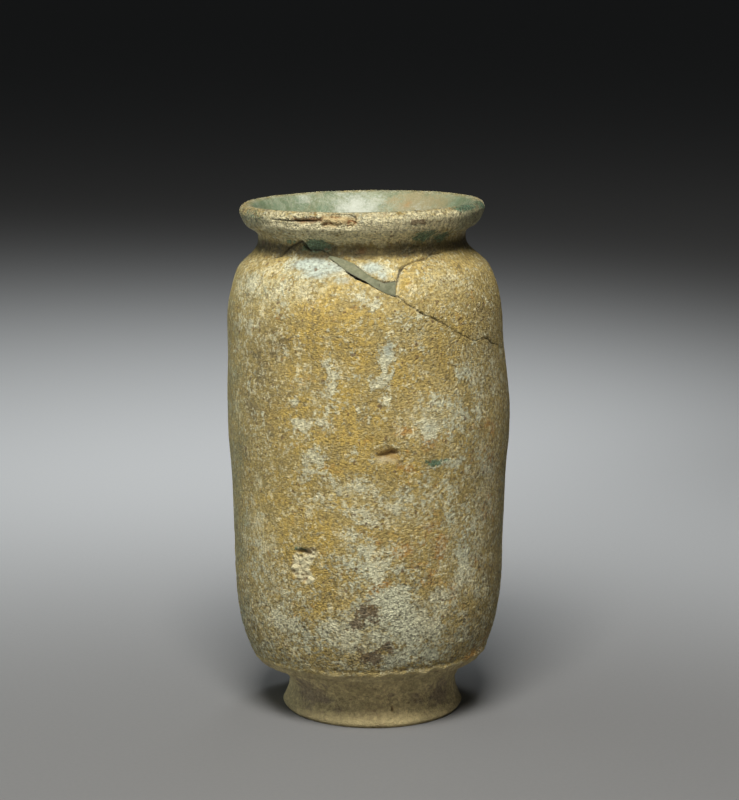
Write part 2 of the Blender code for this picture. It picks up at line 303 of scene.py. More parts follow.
# breaks and wear, by angle from the front and height
# Each crack point: degrees to the right of the front, height, half width, all along the thrown form.
breaks = {
    "shoulderCrack": (
        (13, 119, 0.19), (19.4, 116, 0.22), (24.6, 113.8, 0.26), (29.8, 112.2, 0.25), (35.4, 110, 0.17),
        (40.6, 108, 0.15), (46.6, 106.1, 0.2), (50.6, 104.9, 0.14), (54.8, 105.4, 0.12), (61, 104.6, 0.26),
        (63.2, 103.3, 0.22), (69.4, 102.3, 0.16), (77.4, 100.6, 0.16), (92, 99.4, 0.16), (106, 101.5, 0.16),
        (120, 107.3, 0.15), (133, 113.6, 0.15), (146, 118.3, 0.15), (158, 123.2, 0.14), (167, 126.8, 0.1),
    ),
    "shardCrack": (
        (14.3, 121.6, 0.23), (15.2, 122.6, 0.25), (17, 124.3, 0.38), (18.4, 125.2, 0.5), (20, 125.7, 0.3),
        (22, 126, 0.25), (27.4, 126.7, 0.24), (33.2, 126.8, 0.25), (37.8, 127.8, 0.22), (45, 128, 0.2),
        (58, 128.8, 0.16),
    ),
    "neckCrack": (
        (-54, 127, 0.18), (-47.2, 127.8, 0.26), (-43.4, 129.7, 0.3), (-39.8, 130.8, 0.32), (-33.4, 131.8, 0.4),
        (-31, 130.5, 0.36), (-28.4, 129.7, 0.3), (-22.6, 129.9, 0.26), (-17.4, 128.9, 0.24), (-15, 128.2, 0.2),
    ),
    "hairline": ((-28.4, 124.6, 0.1), (-29.6, 122.6, 0.13), (-31, 121.4, 0.1)),
    "arcScratch": ((-32.4, 113.4, 0.14), (-31, 112.6, 0.16), (-30.8, 111.3, 0.14)),
    "lowerJoint": (
        (-8.4, 125.1, 0.12), (-5.4, 124.3, 0.34), (-2.6, 123.5, 0.52), (-0.6, 123, 0.46), (1.6, 122.4, 0.4),
        (3.6, 121.6, 0.14),
    ),
    "lipSlit": (
        (-46.5, 138, 0.1), (-44.6, 137.9, 0.15), (-37.8, 137.75, 0.2), (-32, 137.75, 0.34), (-26, 137.65, 0.38),
        (-19.3, 137.6, 0.26),
    ),
    "lipTopCrack": (
        (-19.6, 139.1, 0.14), (-16, 139.6, 0.2), (-12.4, 139.7, 0.3), (-7.6, 139.7, 0.26), (-4.4, 139.6, 0.32),
        (-2.8, 139.2, 0.26), (-2.4, 138.5, 0.26), (-2.8, 137.6, 0.16),
    ),
    "upperJoint": ((2.4, 124.2, 0.1), (6, 122.9, 0.26), (8.8, 122.3, 0.36), (11.4, 122.1, 0.34), (14.2, 122.4, 0.22)),
    "crackDepth": 0.6,
    "crackWander": 0.26,
}
fillForm = {
    "lowerEdge": (
        (-18.2, 128.1), (-13, 126.8), (-7.4, 124.9), (-2.6, 123.6), (1.2, 122.6), (5.2, 120.9), (9.2, 119.5),
        (13.4, 118.5),
    ),
    "upperEdge": (
        (-17.4, 128.6), (-13.4, 128.3), (-8.4, 127.5), (-3.8, 126.7), (-0.2, 125.3), (4, 123.5), (8.8, 122.1),
        (14.4, 122.4),
    ),
    "groove": 2.0,
    "thickness": 1.6,
    "gap": 0.05,
    "sunk": 0.1,
}


def jagged(path, seed):
    path = np.array(path, float)
    points = onSkin(path[:, 0], path[:, 1])
    fine = [np.append(points[0], path[0, 2])]
    for (a, wa), (b, wb) in zip(zip(points, path[:, 2]), zip(points[1:], path[1:, 2])):
        steps = max(2, int(np.linalg.norm(b - a) / 0.55))
        for step in range(1, steps + 1):
            t = step / steps
            spot = Vector(a + (b - a) * t)
            wander = noise.noise_vector(spot * 0.9 + Vector((seed, 0, 0))) * breaks["crackWander"]
            swelling = 0.8 + 0.5 * abs(noise.noise(spot * 0.7 + Vector((0, seed, 0))))
            place = a + (b - a) * t + (np.array(wander) if step < steps else 0)
            fine.append(np.append(place, (wa + (wb - wa) * t) * swelling))
    return np.array(fine)


def nearness(points, path):
    # distance from each point to the path, and the half width of the crack there
    best = np.full(len(points), 99.0)
    width = np.zeros(len(points))
    for a, b in zip(path, path[1:]):
        run = b[:3] - a[:3]
        t = np.clip(((points - a[:3]) @ run) / max(run @ run, 1e-9), 0, 1)
        gap = np.linalg.norm(points - a[:3] - t[:, None] * run, axis=1)
        closer = gap < best
        best[closer] = gap[closer]
        width[closer] = (a[3] + (b[3] - a[3]) * t)[closer]
    return best, width


crackNames = (
    "shoulderCrack", "shardCrack", "neckCrack", "hairline", "arcScratch", "lowerJoint", "upperJoint", "lipSlit",
    "lipTopCrack",
)
cracks = {name: jagged(breaks[name], 7.3 * i) for i, name in enumerate(crackNames)}
fillOutline = np.array(fillForm["lowerEdge"] + fillForm["upperEdge"][::-1])


def insideFill(degrees, heights):
    # signed distance in millimetres to the edge of the fill on the unrolled shoulder, negative inside
    scale = np.array([34.0 * math.pi / 180, 1.18])
    edge = fillOutline * scale
    points = np.stack([degrees, heights], 1) * scale
    crossings = np.zeros(len(points), int)
    best = np.full(len(points), 99.0)
    for a, b in zip(edge, np.roll(edge, -1, axis=0)):
        run = b - a
        t = np.clip(((points - a) @ run) / (run @ run), 0, 1)
        best = np.minimum(best, np.linalg.norm(points - a - t[:, None] * run, axis=1))
        spans = (a[1] > points[:, 1]) != (b[1] > points[:, 1])
        at = a[0] + (points[:, 1] - a[1]) * run[0] / (run[1] if abs(run[1]) > 1e-9 else 1e-9)
        crossings += spans & (points[:, 0] < at)
    return np.where(crossings % 2 == 1, -best, best)


# vessel mesh; windows are angles and heights that want finer faces
refinement = {
    "firstReach": 1.6,
    "secondReach": 0.7,
    "skinMargin": 1.2,
    "lowestBreak": 95,
    "windows": (
        (-36, -18, 41.5, 53.5), (0, 15, 76, 81), (-55, 0, 134.9, 139.9), (11, 15.5, 4.2, 6.4), (-180, 180, 15.6, 19.4),
    ),
}


def readPoints(bm):
    return np.array([v.co for v in bm.verts])


def turnedVessel():
    bm = bmesh.new()
    ring = [bm.verts.new((0, -r, z)) for r, z in wholeLine]
    edges = [bm.edges.new(pair) for pair in zip(ring, ring[1:])]
    bmesh.ops.spin(
        bm, geom=ring + edges, cent=(0, 0, 0), axis=(0, 0, 1), angle=math.tau, steps=vesselForm["segments"],
        use_merge=True,
    )
    bmesh.ops.remove_doubles(bm, verts=bm.verts, dist=1e-4)
    bmesh.ops.recalc_face_normals(bm, faces=bm.faces)
    return bm


def refine(bm, reach, wanted):
    # one more cut across every face whose middle is within reach of a break
    middles = np.array([f.calc_center_median() for f in bm.faces])
    near = wanted(middles) < reach
    faces = [f for f, close in zip(bm.faces, near) if close]
    edges = list({e for f in faces for e in f.edges})
    bmesh.ops.subdivide_edges(bm, edges=edges, cuts=1, use_grid_fill=True)


def unrolled(points):
    # angle from the front, height, and whether the point lies within a margin of the outer skin
    angles = np.degrees(np.arctan2(points[:, 0], -points[:, 1]))
    skin = np.interp(points[:, 2], outerArray[:, 1], outerArray[:, 0])
    return angles, points[:, 2], np.hypot(points[:, 0], points[:, 1]) > skin - refinement["skinMargin"]


def breakDistance(points):
    best = np.full(len(points), 99.0)
    angles, high, outer = unrolled(points)
    high = outer & (high > refinement["lowestBreak"])
    some = points[high]
    result = np.full(len(some), 99.0)
    for path in cracks.values():
        result = np.minimum(result, nearness(some, path)[0])
    result = np.minimum(result, np.abs(insideFill(angles[high], some[:, 2])))
    best[high] = result
    return best


def fineDistance(points):
    # the flaked patch, the pits, the lip scar and the edge of the glaze want a finer mesh too
    best = breakDistance(points)
    angles, high, outer = unrolled(points)
    for left, right, bottom, top in refinement["windows"]:
        best[outer & (angles > left) & (angles < right) & (high > bottom) & (high < top)] = 0
    return best


bm = turnedVessel()
refine(bm, refinement["firstReach"], fineDistance)
refine(bm, refinement["secondReach"], breakDistance)
print("vessel turned and refined near its breaks:", len(bm.faces), "faces")

# relief of the vessel
wear = {
    "grain": 0.05,
    "crust": 0.16,
    "dents": 0.22,
    "lowDents": 0.08,
    "clayGrain": 0.035,
    "strokes": 0.07,
    "strokesMiddle": (50, 113),
    "strokesReach": (11, 8),
    "shardLift": 0.16,
    "wheelMarks": 0.05,
    "throwingRings": 0.18,
}
pits = {
    # angle, height, half width, half height, depth
    "middle": (8.8, 78.4, 1.9, 1.05, 1),
    "middleSide": (5, 77.8, 2.2, 1, 0.55),
    "middleDent": (7.2, 78, 4.6, 2.2, 0.5),
    "lower": (-27.2, 51.5, 3.2, 0.95, 1.3),
    "foot": (13.3, 5.1, 0.75, 0.75, 1.2),
    "footSmall": (-34.8, 2.3, 0.35, 0.35, 0.5),
    "rim": (10.2, 139.5, 0.45, 0.4, 0.6),
    "small": (-33.8, 120.6, 0.5, 0.4, 0.4),
    "smallB": (42.5, 118.2, 0.35, 0.9, 0.4),
    "fillA": (-14.6, 127.4, 0.45, 0.3, 0.4),
    "fillB": (-11.6, 126.2, 0.4, 0.3, 0.3),
    "dotA": (13.8, 131.6, 0.32, 0.3, 0.5),
    "dotB": (20.2, 132, 0.32, 0.3, 0.5),
    "neckBlot": (0, 129.8, 1.3, 0.7, 0.5),
    "speckA": (-50, 121.2, 0.4, 0.35, 0.4),
    "speckB": (-11.9, 117, 0.34, 0.3, 0.4),
    "speckC": (-11.5, 114.4, 0.3, 0.34, 0.4),
    "speckD": (46, 123.4, 0.36, 0.32, 0.4),
}
perDegree = math.radians(1) * 37  # millimetres of skin to a degree of turn


def pitShape(degrees, heights, pit):
    across = (degrees - pit[0]) * perDegree / pit[2]
    up = (heights - pit[1]) / pit[3]
    return np.clip(1 - (across**2 + up**2), 0, 1)


def bell(value, width):
    return np.exp(-((value / width) ** 2))


points = readPoints(bm)
radius = np.hypot(points[:, 0], points[:, 1])
degrees = np.degrees(np.arctan2(points[:, 0], -points[:, 1]))
heights = points[:, 2]
outside = (radius > np.interp(heights, outerArray[:, 1], outerArray[:, 0]) - 0.6) & (heights > 0.2)
onLip = heights > vesselForm["height"] - 0.8
spots = [Vector(p) for p in points]


def noiseField(scale, shift=0.0):
    move = Vector((shift, shift * 0.7, -shift))
    return np.array([noise.noise(p * scale + move) for p in spots])


broad = noiseField(0.045)
middling = noiseField(0.16, 11)
grainy = noiseField(0.55, 23)
fineGrain = noiseField(1.05, 37)
ragged = noiseField(0.30, 51)

body = ramp(heights, 16, 20)
crust = np.clip(ramp(58 - heights, 0, 30) * body + 0.25 * body * np.clip(middling * 2, 0, 1), 0, 1)
lift = wear["dents"] * broad * ramp(heights, 3, 30) * (1 - 0.6 * ramp(heights, 120, 130))
lift += wear["lowDents"] * middling * body
lift += (wear["grain"] + wear["crust"] * crust) * (grainy * 0.9 + fineGrain * 0.8) * body
lift += wear["clayGrain"] * (grainy + 1.6 * fineGrain + 1.2 * middling) * (1 - body)
lift += wear["wheelMarks"] * np.sin(heights * 2.4 + 2 * middling) * ramp(9 - heights, 0, 3) * ramp(heights, 0.5, 2)

# faint curved strokes left by the hand, high on the right
strokeTurn, strokeHeight = degrees - wear["strokesMiddle"][0], heights - wear["strokesMiddle"][1]
strokeWide, strokeHigh = wear["strokesReach"]
strokes = np.exp(-((strokeTurn / strokeWide) ** 2) - (strokeHeight / strokeHigh) ** 2) * outside
curved = degrees * 1.7 + 0.05 * strokeHeight**2 / 8 + 1.5 * middling
lift += wear["strokes"] * strokes * np.sin(curved)


def crackHeight(name, left):
    path = np.array(breaks[name])
    return np.interp(degrees, path[:, 0], path[:, 1], left=left)


# the sherd between the two shoulder cracks stands a little proud, with its own edge towards the left crack
shard = (degrees > 13.5) & (heights > crackHeight("shoulderCrack", 200)) & (heights < 127.0)
shard &= heights < np.maximum(crackHeight("shardCrack", 0), 121)
lift += wear["shardLift"] * shard * ramp(60 - degrees, 0, 45) * ramp(128 - heights, 0, 3)

nearBreak = breakDistance(points) < 4
crackMask = np.zeros(len(points))
for name, path in cracks.items():
    gap, width = nearness(points[nearBreak], path)
    depth = np.exp(-np.clip(gap / (width * 0.95), 0, 6) ** 2.2)
    crackMask[nearBreak] = np.maximum(crackMask[nearBreak], depth * np.clip(width / 0.28, 0.3, 1))
    lift[nearBreak] -= breaks["crackDepth"] * depth * np.clip(width / 0.3, 0.25, 1.4)
    lift[nearBreak] -= 0.12 * bell(gap, 1.1) * np.clip(width / 0.3, 0.25, 1.0)

fillDistance = np.full(len(points), 99.0)
close = nearBreak | ((degrees > -25) & (degrees < 20) & (heights > 115) & (heights < 131) & outside)
fillDistance[close] = insideFill(degrees[close], heights[close]) + 0.12 * ragged[close]
lift -= fillForm["groove"] * ramp(-fillDistance, 0.0, 0.14) * ramp(degrees, -19.0, -13.0)

pitMask = np.zeros(len(points))
for pit in pits.values():
    shape = pitShape(degrees + 2.2 * ragged, heights + 0.5 * grainy + 0.4 * ragged, pit) ** 0.7
    lift -= pit[4] * shape * (outside | onLip)
    pitMask = np.maximum(pitMask, shape * min(1.0, pit[4] / 0.9))

# the flaked patch under the lower pit: rough scales of bare clay, each with a small ledge at its foot
flakedPatch = {"turn": 27.6, "leanFrom": 46.5, "halfWidth": 2.9, "middle": 46.9, "halfHeight": 4.9, "scaleHeight": 1.8}
fromMiddle = heights - flakedPatch["leanFrom"]
across = (degrees + flakedPatch["turn"] + 0.10 * fromMiddle) * perDegree
across = across / (flakedPatch["halfWidth"] + 0.16 * fromMiddle)
up = (heights - flakedPatch["middle"]) / flakedPatch["halfHeight"]
flake = 1.06 - (np.abs(across) ** 3 + np.abs(up) ** 3) ** 0.333
flake = ramp(flake + 0.60 * ragged + 0.40 * grainy - 0.35 * ramp(46 - heights, 0, 5), 0, 0.2) * outside
scale = (heights + 0.55 * np.sin(degrees * 0.8) + 2.0 * ragged + 0.5 * grainy) / flakedPatch["scaleHeight"]
ledge = 1 - (scale - np.floor(scale))
scaly = 0.50 * ledge**1.4 + 0.85 * np.abs(grainy) + 0.60 * fineGrain
lift += flake * (scaly - 0.62)

# scar along the lip: an open slit on the left, and on its right a lumpy bare break with a torn edge below
scarForm = {"slit": 138.2, "slitDepth": 0.95, "breakFoot": 136.0, "breakTop": 139.75, "breakDepth": 0.8, "torn": 135.75}
slit = ramp(0.95 + 0.5 * grainy - np.abs(heights - scarForm["slit"] + 0.9 * ragged), 0, 0.5)
slit = slit * ramp(degrees + 4 * ragged, -36.0, -30.0) * ramp(-16.5 - degrees, 0, 2.4)
lumpy = np.abs(noiseField(0.30, 91)) * 2.0 + 0.45 * np.abs(noiseField(0.75, 13))
lumps = ramp(heights + 2.2 * ragged + 0.9 * grainy, scarForm["breakFoot"], scarForm["breakFoot"] + 0.9)
lumps = lumps * ramp(scarForm["breakTop"] + 0.6 * grainy - heights, 0, 0.6)
lumps = lumps * ramp(degrees + 5.0 * ragged + 2.0 * grainy, -21.5, -18.0)
lumps = lumps * ramp(-2.3 - degrees + 4.0 * ragged + 2.2 * grainy, 0, 2.0) * outside
lift -= outside * slit * (scarForm["slitDepth"] - 0.35 * ramp(heights, 138.0, 139.0))
lift -= lumps * (scarForm["breakDepth"] - np.clip(lumpy, 0, 0.9) - 0.45 * grainy)
torn = heights - scarForm["torn"] - 0.55 * ragged - 0.35 * grainy
belowScar = bell(torn, 0.42) * ramp(degrees, -56, -46) * ramp(1 - degrees, 0, 5) * outside
lift += 0.30 * belowScar * (0.4 + 1.4 * np.abs(fineGrain)) - 0.10 * bell(torn + 0.9, 0.5) * (belowScar > 0)

# the lower edge of the glaze: a dark groove, and below it a thick torn ridge over the bare clay
glazeEdgeForm = {
    "height": 18.55, "sideDrop": 1.5, "ridge": 0.50, "lowRidge": 0.36, "groove": 0.32,
    "spur": (64, 17.9), "spurReach": (11, 0.85),
}
edgeHeight = glazeEdgeForm["height"] + 0.22 * noiseField(0.11, 77) + 0.20 * ragged
edgeHeight = edgeHeight - glazeEdgeForm["sideDrop"] * ramp(np.abs(degrees + 5), 48, 74)
overEdge = heights - edgeHeight
tears = noiseField(0.24, 133)
swell = noiseField(0.13, 61)
fullness = np.clip(0.80 + 1.1 * swell + 0.5 * tears + 0.25 * grainy, 0.15, 1.5)
ridge = bell(overEdge + 1.10 + 0.20 * grainy + 0.9 * tears, 0.54) * fullness
lowRidge = bell(overEdge + 1.95 + 0.9 * tears - 1.2 * ragged, 0.30) * ramp(tears, -0.05, 0.25) * 0.8
edgeGroove = bell(overEdge + 0.10 + 0.15 * grainy, 0.30) * np.clip(0.60 + 1.1 * swell + 0.8 * ragged, 0.12, 1.0)
leftSoft = 0.35 + 0.65 * ramp(degrees, -30.0, -14.0)
ridge, lowRidge, edgeGroove = ridge * leftSoft, lowRidge * leftSoft, edgeGroove * (0.3 + 0.7 * leftSoft)
lift += outside * (glazeEdgeForm["ridge"] * ridge + glazeEdgeForm["lowRidge"] * lowRidge)
lift -= outside * glazeEdgeForm["groove"] * edgeGroove
ridge = np.maximum(ridge, lowRidge)
spurTurn = degrees - glazeEdgeForm["spur"][0]
spurHeight = heights - glazeEdgeForm["spur"][1] - 0.02 * spurTurn + 0.5 * ragged
spurWide, spurHigh = glazeEdgeForm["spurReach"]
spur = np.exp(-((spurTurn / spurWide) ** 2) - (spurHeight / spurHigh) ** 2)
lift += outside * spur

# inside: soft throwing rings
inside = ~outside & (heights > 10)
rings = np.sin(heights * 0.75) * ramp(heights, 14, 30) * ramp(126 - heights, 0, 10)
lift += inside * wear["throwingRings"] * rings

lift[(np.abs(heights) < 0.02) | (radius < 1e-3)] = 0
lift = np.where(outside | onLip | inside, lift, 0.0)

bm.normal_update()
normals = np.array([v.normal for v in bm.verts])
moved = handThrown(points + normals * lift[:, None]) * 0.001
moved = np.clip(moved, np.array(cadBox[0]), np.array(cadBox[1]))
for vert, place in zip(bm.verts, moved):
    vert.co = place
print("vessel relief done")

vesselMesh = bpy.data.meshes.new("vesselSkin")
bm.to_mesh(vesselMesh)
bm.free()
vesselMesh.shade_smooth()
vesselSkin = bpy.data.objects.new("vesselSkin", vesselMesh)
scene.collection.objects.link(vesselSkin)

# painted masks that the glaze reads
# Each patch: degrees, height, half width in degrees, half height, strength.
patches = {
    "lime": (
        (-23.4, 125.9, 18, 2, 0.8), (-10.2, 124.8, 7.5, 1.8, 0.8), (5.6, 125.6, 9.5, 1.3, 0.7),
        (-56.4, 120.7, 12.1, 2.4, 0.6), (-35.2, 118.9, 9.5, 3, 0.45), (-0.8, 118.8, 2.4, 1.3, 0.8),
        (2.6, 116.5, 3.2, 1.5, 0.7), (17.6, 111.3, 4.2, 1.5, 0.8), (9.4, 104.7, 3.2, 3.4, 1),
        (7.2, 102.2, 2.7, 2.1, 1), (-5, 104.1, 2, 1.3, 0.8), (-14.8, 102.2, 2, 1.5, 0.7), (-12.6, 98.1, 3.6, 3.1, 1),
        (-4.6, 98.9, 2.4, 1.3, 0.8), (1.4, 98.4, 1.9, 1.1, 0.7), (4.8, 96.5, 3.5, 1.8, 0.9),
        (44, 96.4, 4.5, 3.6, 0.6), (-41.2, 105.4, 7.9, 2.1, 0.35), (-58.4, 111, 6.9, 6.2, 0.4),
        (-30.2, 91.3, 2.8, 1.6, 0.8), (-26, 85.8, 4.3, 2.1, 0.9), (-15.4, 90.3, 5.7, 1.8, 0.55),
        (-18.8, 86.3, 3.7, 1.8, 0.6), (6.8, 91.8, 2.3, 1.3, 0.7), (29, 90, 8, 2.6, 0.5), (23.4, 83.8, 4.2, 2.8, 1),
        (33, 82.5, 6.6, 3.1, 0.45), (37.8, 87.7, 4, 2.1, 0.5), (50, 89.7, 5.1, 4.7, 0.45),
        (-21.4, 77.1, 5, 2.4, 0.9), (-24.2, 72.7, 3.9, 2.4, 0.7), (-18, 72.4, 3.7, 2.2, 0.6),
        (-12.8, 69.8, 4, 1.9, 0.6), (-2.6, 69.9, 5, 2.7, 0.8), (2, 68, 3.9, 1.8, 0.6), (33.4, 74.1, 6.3, 1.9, 0.6),
        (28.4, 68, 7.3, 2.5, 0.6), (56, 70.8, 5.8, 3.4, 0.4), (-22.2, 65.2, 8.8, 2.4, 0.55),
        (-4.2, 61.6, 6.4, 3.8, 0.7), (-0.6, 48.3, 8.1, 5.4, 1), (-3, 56.4, 6.4, 2.7, 0.6),
        (12.4, 65.3, 10.6, 3.8, 0.6), (9, 37.3, 9.9, 5.5, 1), (17.2, 30.2, 15.2, 4.5, 0.95),
        (-9.4, 30.3, 5.9, 4.3, 0.8), (-38.4, 31.3, 8, 3.7, 0.7), (41.8, 45.2, 6.9, 6.6, 0.8),
        (49.6, 57.2, 6.1, 6, 0.5), (34.6, 62.1, 6.5, 3.6, 0.6), (9.8, 21.4, 9.1, 1.8, 0.8),
        (-16.6, 27.8, 10.8, 4.1, 0.45), (30.4, 37.4, 9.9, 5.5, 0.55), (-50.4, 47, 8.6, 11.1, 0.3),
        (22.8, 22.6, 13, 2.7, 0.55), (-29.4, 38.1, 6.8, 3.9, 0.3), (12.6, 46.9, 6.6, 3.2, 0.35),
        (150, 96, 18, 10, 0.7), (-140, 60, 22, 14, 0.6), (-110, 104, 14, 10, 0.6), (115, 48, 18, 12, 0.55),
        (175, 36, 24, 8, 0.7), (100, 118, 12, 5, 0.5), (-160, 118, 16, 5, 0.6), (-95, 26, 16, 6, 0.6),
        (130, 24, 20, 5, 0.6),
    ),
    "pale": (
        (-35, 121, 34, 5.5, 0.9), (0, 122, 40, 4, 0.7), (30, 120, 22, 5, 0.8), (5, 125, 12, 2.4, 1),
        (-50, 112, 14, 8, 0.35), (-38, 104, 10, 8, 0.2), (20, 110, 12, 5, 0.5), (0, 136.5, 60, 5, 1.5),
        (120, 137, 60, 4, 0.8), (-120, 137, 60, 4, 0.8), (28, 88, 14, 8, 0.7), (52, 98, 14, 14, 0.5),
        (56, 66, 12, 26, 0.45), (-64, 126, 8, 4, 0.4), (6, 30, 34, 11, 0.8), (0, 50, 14, 8, 0.6),
        (-50, 60, 12, 22, 0.5), (-45, 34, 16, 10, 0.5), (46, 46, 14, 12, 0.5), (-10, 68, 14, 7, 0.5),
        (10, 62, 16, 7, 0.5), (180, 122, 60, 5, 0.7), (-130, 40, 30, 16, 0.6), (120, 34, 30, 14, 0.6),
        (160, 90, 26, 14, 0.4),
    ),
    "ochre": (
        (-5.6, 122.3, 8.6, 1.9, 0.8), (-17, 115.7, 11.2, 4, 0.8), (-8.2, 112.5, 9.6, 3.5, 0.8),
        (-25.4, 107.9, 9.9, 4.1, 0.8), (-13.6, 106.6, 7.4, 3.1, 1), (1.2, 112, 6.3, 3.5, 0.7),
        (19.6, 121, 7.1, 2.4, 0.9), (32.8, 116.9, 9.8, 3.5, 0.5), (-1.2, 104.3, 5.5, 3.1, 0.8),
        (-26.8, 99.3, 9.1, 3.6, 0.6), (-34.6, 87.1, 7.9, 3.2, 1), (-26.2, 91, 6.2, 2.6, 0.8),
        (-7.4, 82.1, 14, 3.1, 0.8), (-8.6, 92.5, 10.2, 5.2, 0.7), (-52, 72.3, 12.2, 3.9, 0.5),
        (1.4, 87.4, 8.3, 5.2, 0.6), (14, 97.3, 8.1, 4.7, 0.6), (31, 104.1, 11.3, 5.2, 0.5),
        (-32, 79.2, 10.5, 2.7, 0.6), (-9, 74.2, 11.8, 3.2, 0.6), (16.2, 73.7, 8.1, 3.7, 0.6),
        (-27.8, 59.4, 9.4, 4.4, 1), (-17.4, 55.7, 5.9, 3.8, 0.9), (-19.2, 44.2, 7.9, 4.3, 0.8),
        (-8, 45.6, 4.1, 2.2, 0.8), (-19.4, 37.2, 9.8, 3.3, 0.7), (-19, 23.3, 6.6, 2.1, 0.7),
        (29.8, 32, 8.9, 2.3, 0.45), (-33.8, 52.7, 7.1, 6.6, 0.6), (-44, 64.1, 12.4, 4.4, 0.6),
        (-11.4, 65.5, 5.6, 2.1, 0.6), (4.6, 56.7, 8, 3.8, 0.5), (23.6, 117.4, 6.2, 2.5, 0.6),
        (38.8, 108.8, 10.7, 5.2, 0.45), (-32.6, 70.5, 10.9, 3.8, 0.6), (130, 84, 26, 18, 0.8),
        (-120, 84, 24, 16, 0.8), (-165, 88, 20, 14, 0.7), (160, 62, 20, 12, 0.8), (-100, 44, 20, 12, 0.6),
        (95, 70, 16, 16, 0.7), (-150, 36, 20, 10, 0.6), (140, 112, 20, 6, 0.6),
    ),
    "rust": (
        (12.8, 83.8, 4.7, 1.3, 1), (25, 80.3, 6, 2.1, 0.9), (56.6, 81.3, 6.4, 3.2, 0.8), (58, 72.4, 7.2, 2.9, 0.9),
        (4.6, 41.9, 2.9, 2.1, 1), (1.2, 39.7, 3.2, 1.4, 0.9), (7.4, 43.6, 2.4, 1.1, 0.8),
        (13.4, 52.5, 10.8, 2.7, 0.8), (29.2, 51.8, 3.8, 7.1, 1), (37, 39, 4.3, 3.9, 0.9),
        (50.4, 46.1, 3.5, 2.2, 0.9), (24.8, 57.5, 4.5, 2.4, 0.7), (58, 61.5, 6.2, 5.6, 0.7),
        (44, 71.3, 5.9, 4.4, 0.5), (16.2, 73.7, 4, 2.7, 0.4), (-29.2, 49, 2.8, 2.1, 0.4), (49, 81.6, 6.3, 6.4, 0.5),
        (25.6, 44.7, 5.4, 4.9, 0.6), (45.4, 30.1, 6.6, 4.7, 0.4), (-29.8, 32.5, 7, 2.3, 0.3),
        (-51.2, 35.9, 5.9, 5.8, 0.25), (60, 18.6, 12, 1.5, 1), (70, 20.5, 9, 3, 0.9), (110, 64, 8, 10, 0.6),
        (150, 44, 10, 8, 0.6), (-130, 76, 10, 6, 0.5), (-150, 100, 8, 5, 0.5),
    ),
    # stains, and painted shade on the left and right sides of the body where they turn from the light, and at the right
    # end of the lip
    "stainAndSideShade": (
        (-40, 88, 12, 9, 0.46), (-38, 106, 12, 7, 0.44), (66, 136.5, 16, 4, 0.6), (-46, 97.2, 6.5, 4, 0.95),
        (-41, 93, 4.5, 3, 0.55), (-50, 101.5, 7, 4.5, 0.6), (-52, 88, 7, 6, 0.6), (-59.8, 84.2, 7.2, 16.4, 0.45),
        (-57.8, 105.7, 5.1, 7.9, 0.3), (55, 112.8, 12.9, 5.6, 0.35), (60.2, 99.1, 8.1, 7.8, 0.4),
        (30.6, 100.2, 12.2, 3.6, 0.25), (-55.6, 116.4, 6.3, 2.5, 0.25), (-37.8, 109.7, 7.4, 4.6, 0.2),
        (50.8, 23.6, 12.6, 4.5, 0.4), (63.8, 44.1, 9.6, 14.3, 0.5), (-57.6, 26.4, 10.7, 5.2, 0.35),
        (-130, 108, 10, 6, 0.4), (90, 96, 12, 12, 0.35),
    ),
    "rimGreen": (
        (-128, 136.5, 30, 6, 0.75), (-158, 134, 9, 4, 0.9), (-142, 133.5, 10, 2.5, 1), (-108, 137, 12, 4, 0.8),
        (112, 138, 14, 3, 0.9), (96, 139, 12, 3, 0.9), (-95, 139, 12, 2.5, 0.8), (-20, 139.8, 50, 0.8, 0.8),
        (30, 139.8, 30, 0.7, 0.7),
    ),
    "rimTan": (
        (148, 136.5, 22, 5, 1.15), (126, 137.5, 14, 4, 0.9), (-150, 138.6, 8, 1.6, 0.5), (164, 138.6, 10, 1.4, 0.6),
    ),
    # pale cream on the lip, and a painted highlight along the bottom edge of the foot, where its flare faces up into
    # the light
    "creamAndFootHighlight": (
        (0, 136.2, 62, 2.6, 1), (50, 135.6, 22, 2.4, 0.6), (-45, 135, 22, 2, 0.5), (0, 133, 40, 1.4, 1),
        (0, 1.6, 58, 1.9, 1), (10, 4.2, 26, 1.6, 0.4), (120, 136, 60, 3, 0.6), (-120, 136, 60, 3, 0.6),
        (150, 1.6, 70, 1.6, 0.6), (-150, 1.6, 70, 1.6, 0.6),
    ),
    "milky": (
        (-25, 126.3, 13, 1.8, 0.95), (-15.5, 125.6, 8, 1.5, 0.85), (-21, 124.3, 9, 1.6, 0.75),
        (-9, 122.8, 7, 1.6, 0.55), (5, 125.6, 5.5, 1.6, 0.85), (9, 123.9, 3.4, 1.5, 0.7), (24, 84, 3.6, 2.4, 0.45),
        (9.2, 105.2, 2.4, 3, 0.6), (-14, 102.4, 1.6, 1.2, 0.3), (150, 118, 12, 3, 0.5),
    ),
    # moss on the neck and lip, and painted shade in greenish grey along the left and right edges of the body and at the
    # ends of the lip
    "mossAndSideShade": (
        (-74, 70, 16, 50, 0.85), (-66, 50, 10, 26, 0.55), (-56, 62, 6, 12, 0.35), (76, 60, 9, 50, 0.45),
        (-70, 137.5, 22, 4, 0.8), (68, 136.6, 22, 4.5, 1.4), (-52, 134.5, 14, 3, 0.5), (0, 138.8, 14, 0.9, 0.3),
        (-60, 120, 10, 6, 0.4), (180, 60, 40, 40, 0.4), (-20, 130.9, 12, 1.2, 0.5), (40, 132, 14, 1.8, 0.6),
    ),
    "smudge": (
        (-36, 6.4, 9, 1.5, 0.95), (-40, 9.6, 8, 1.6, 0.7), (-30, 11.2, 6, 1.2, 0.6), (-24, 4.2, 5, 1.4, 0.6),
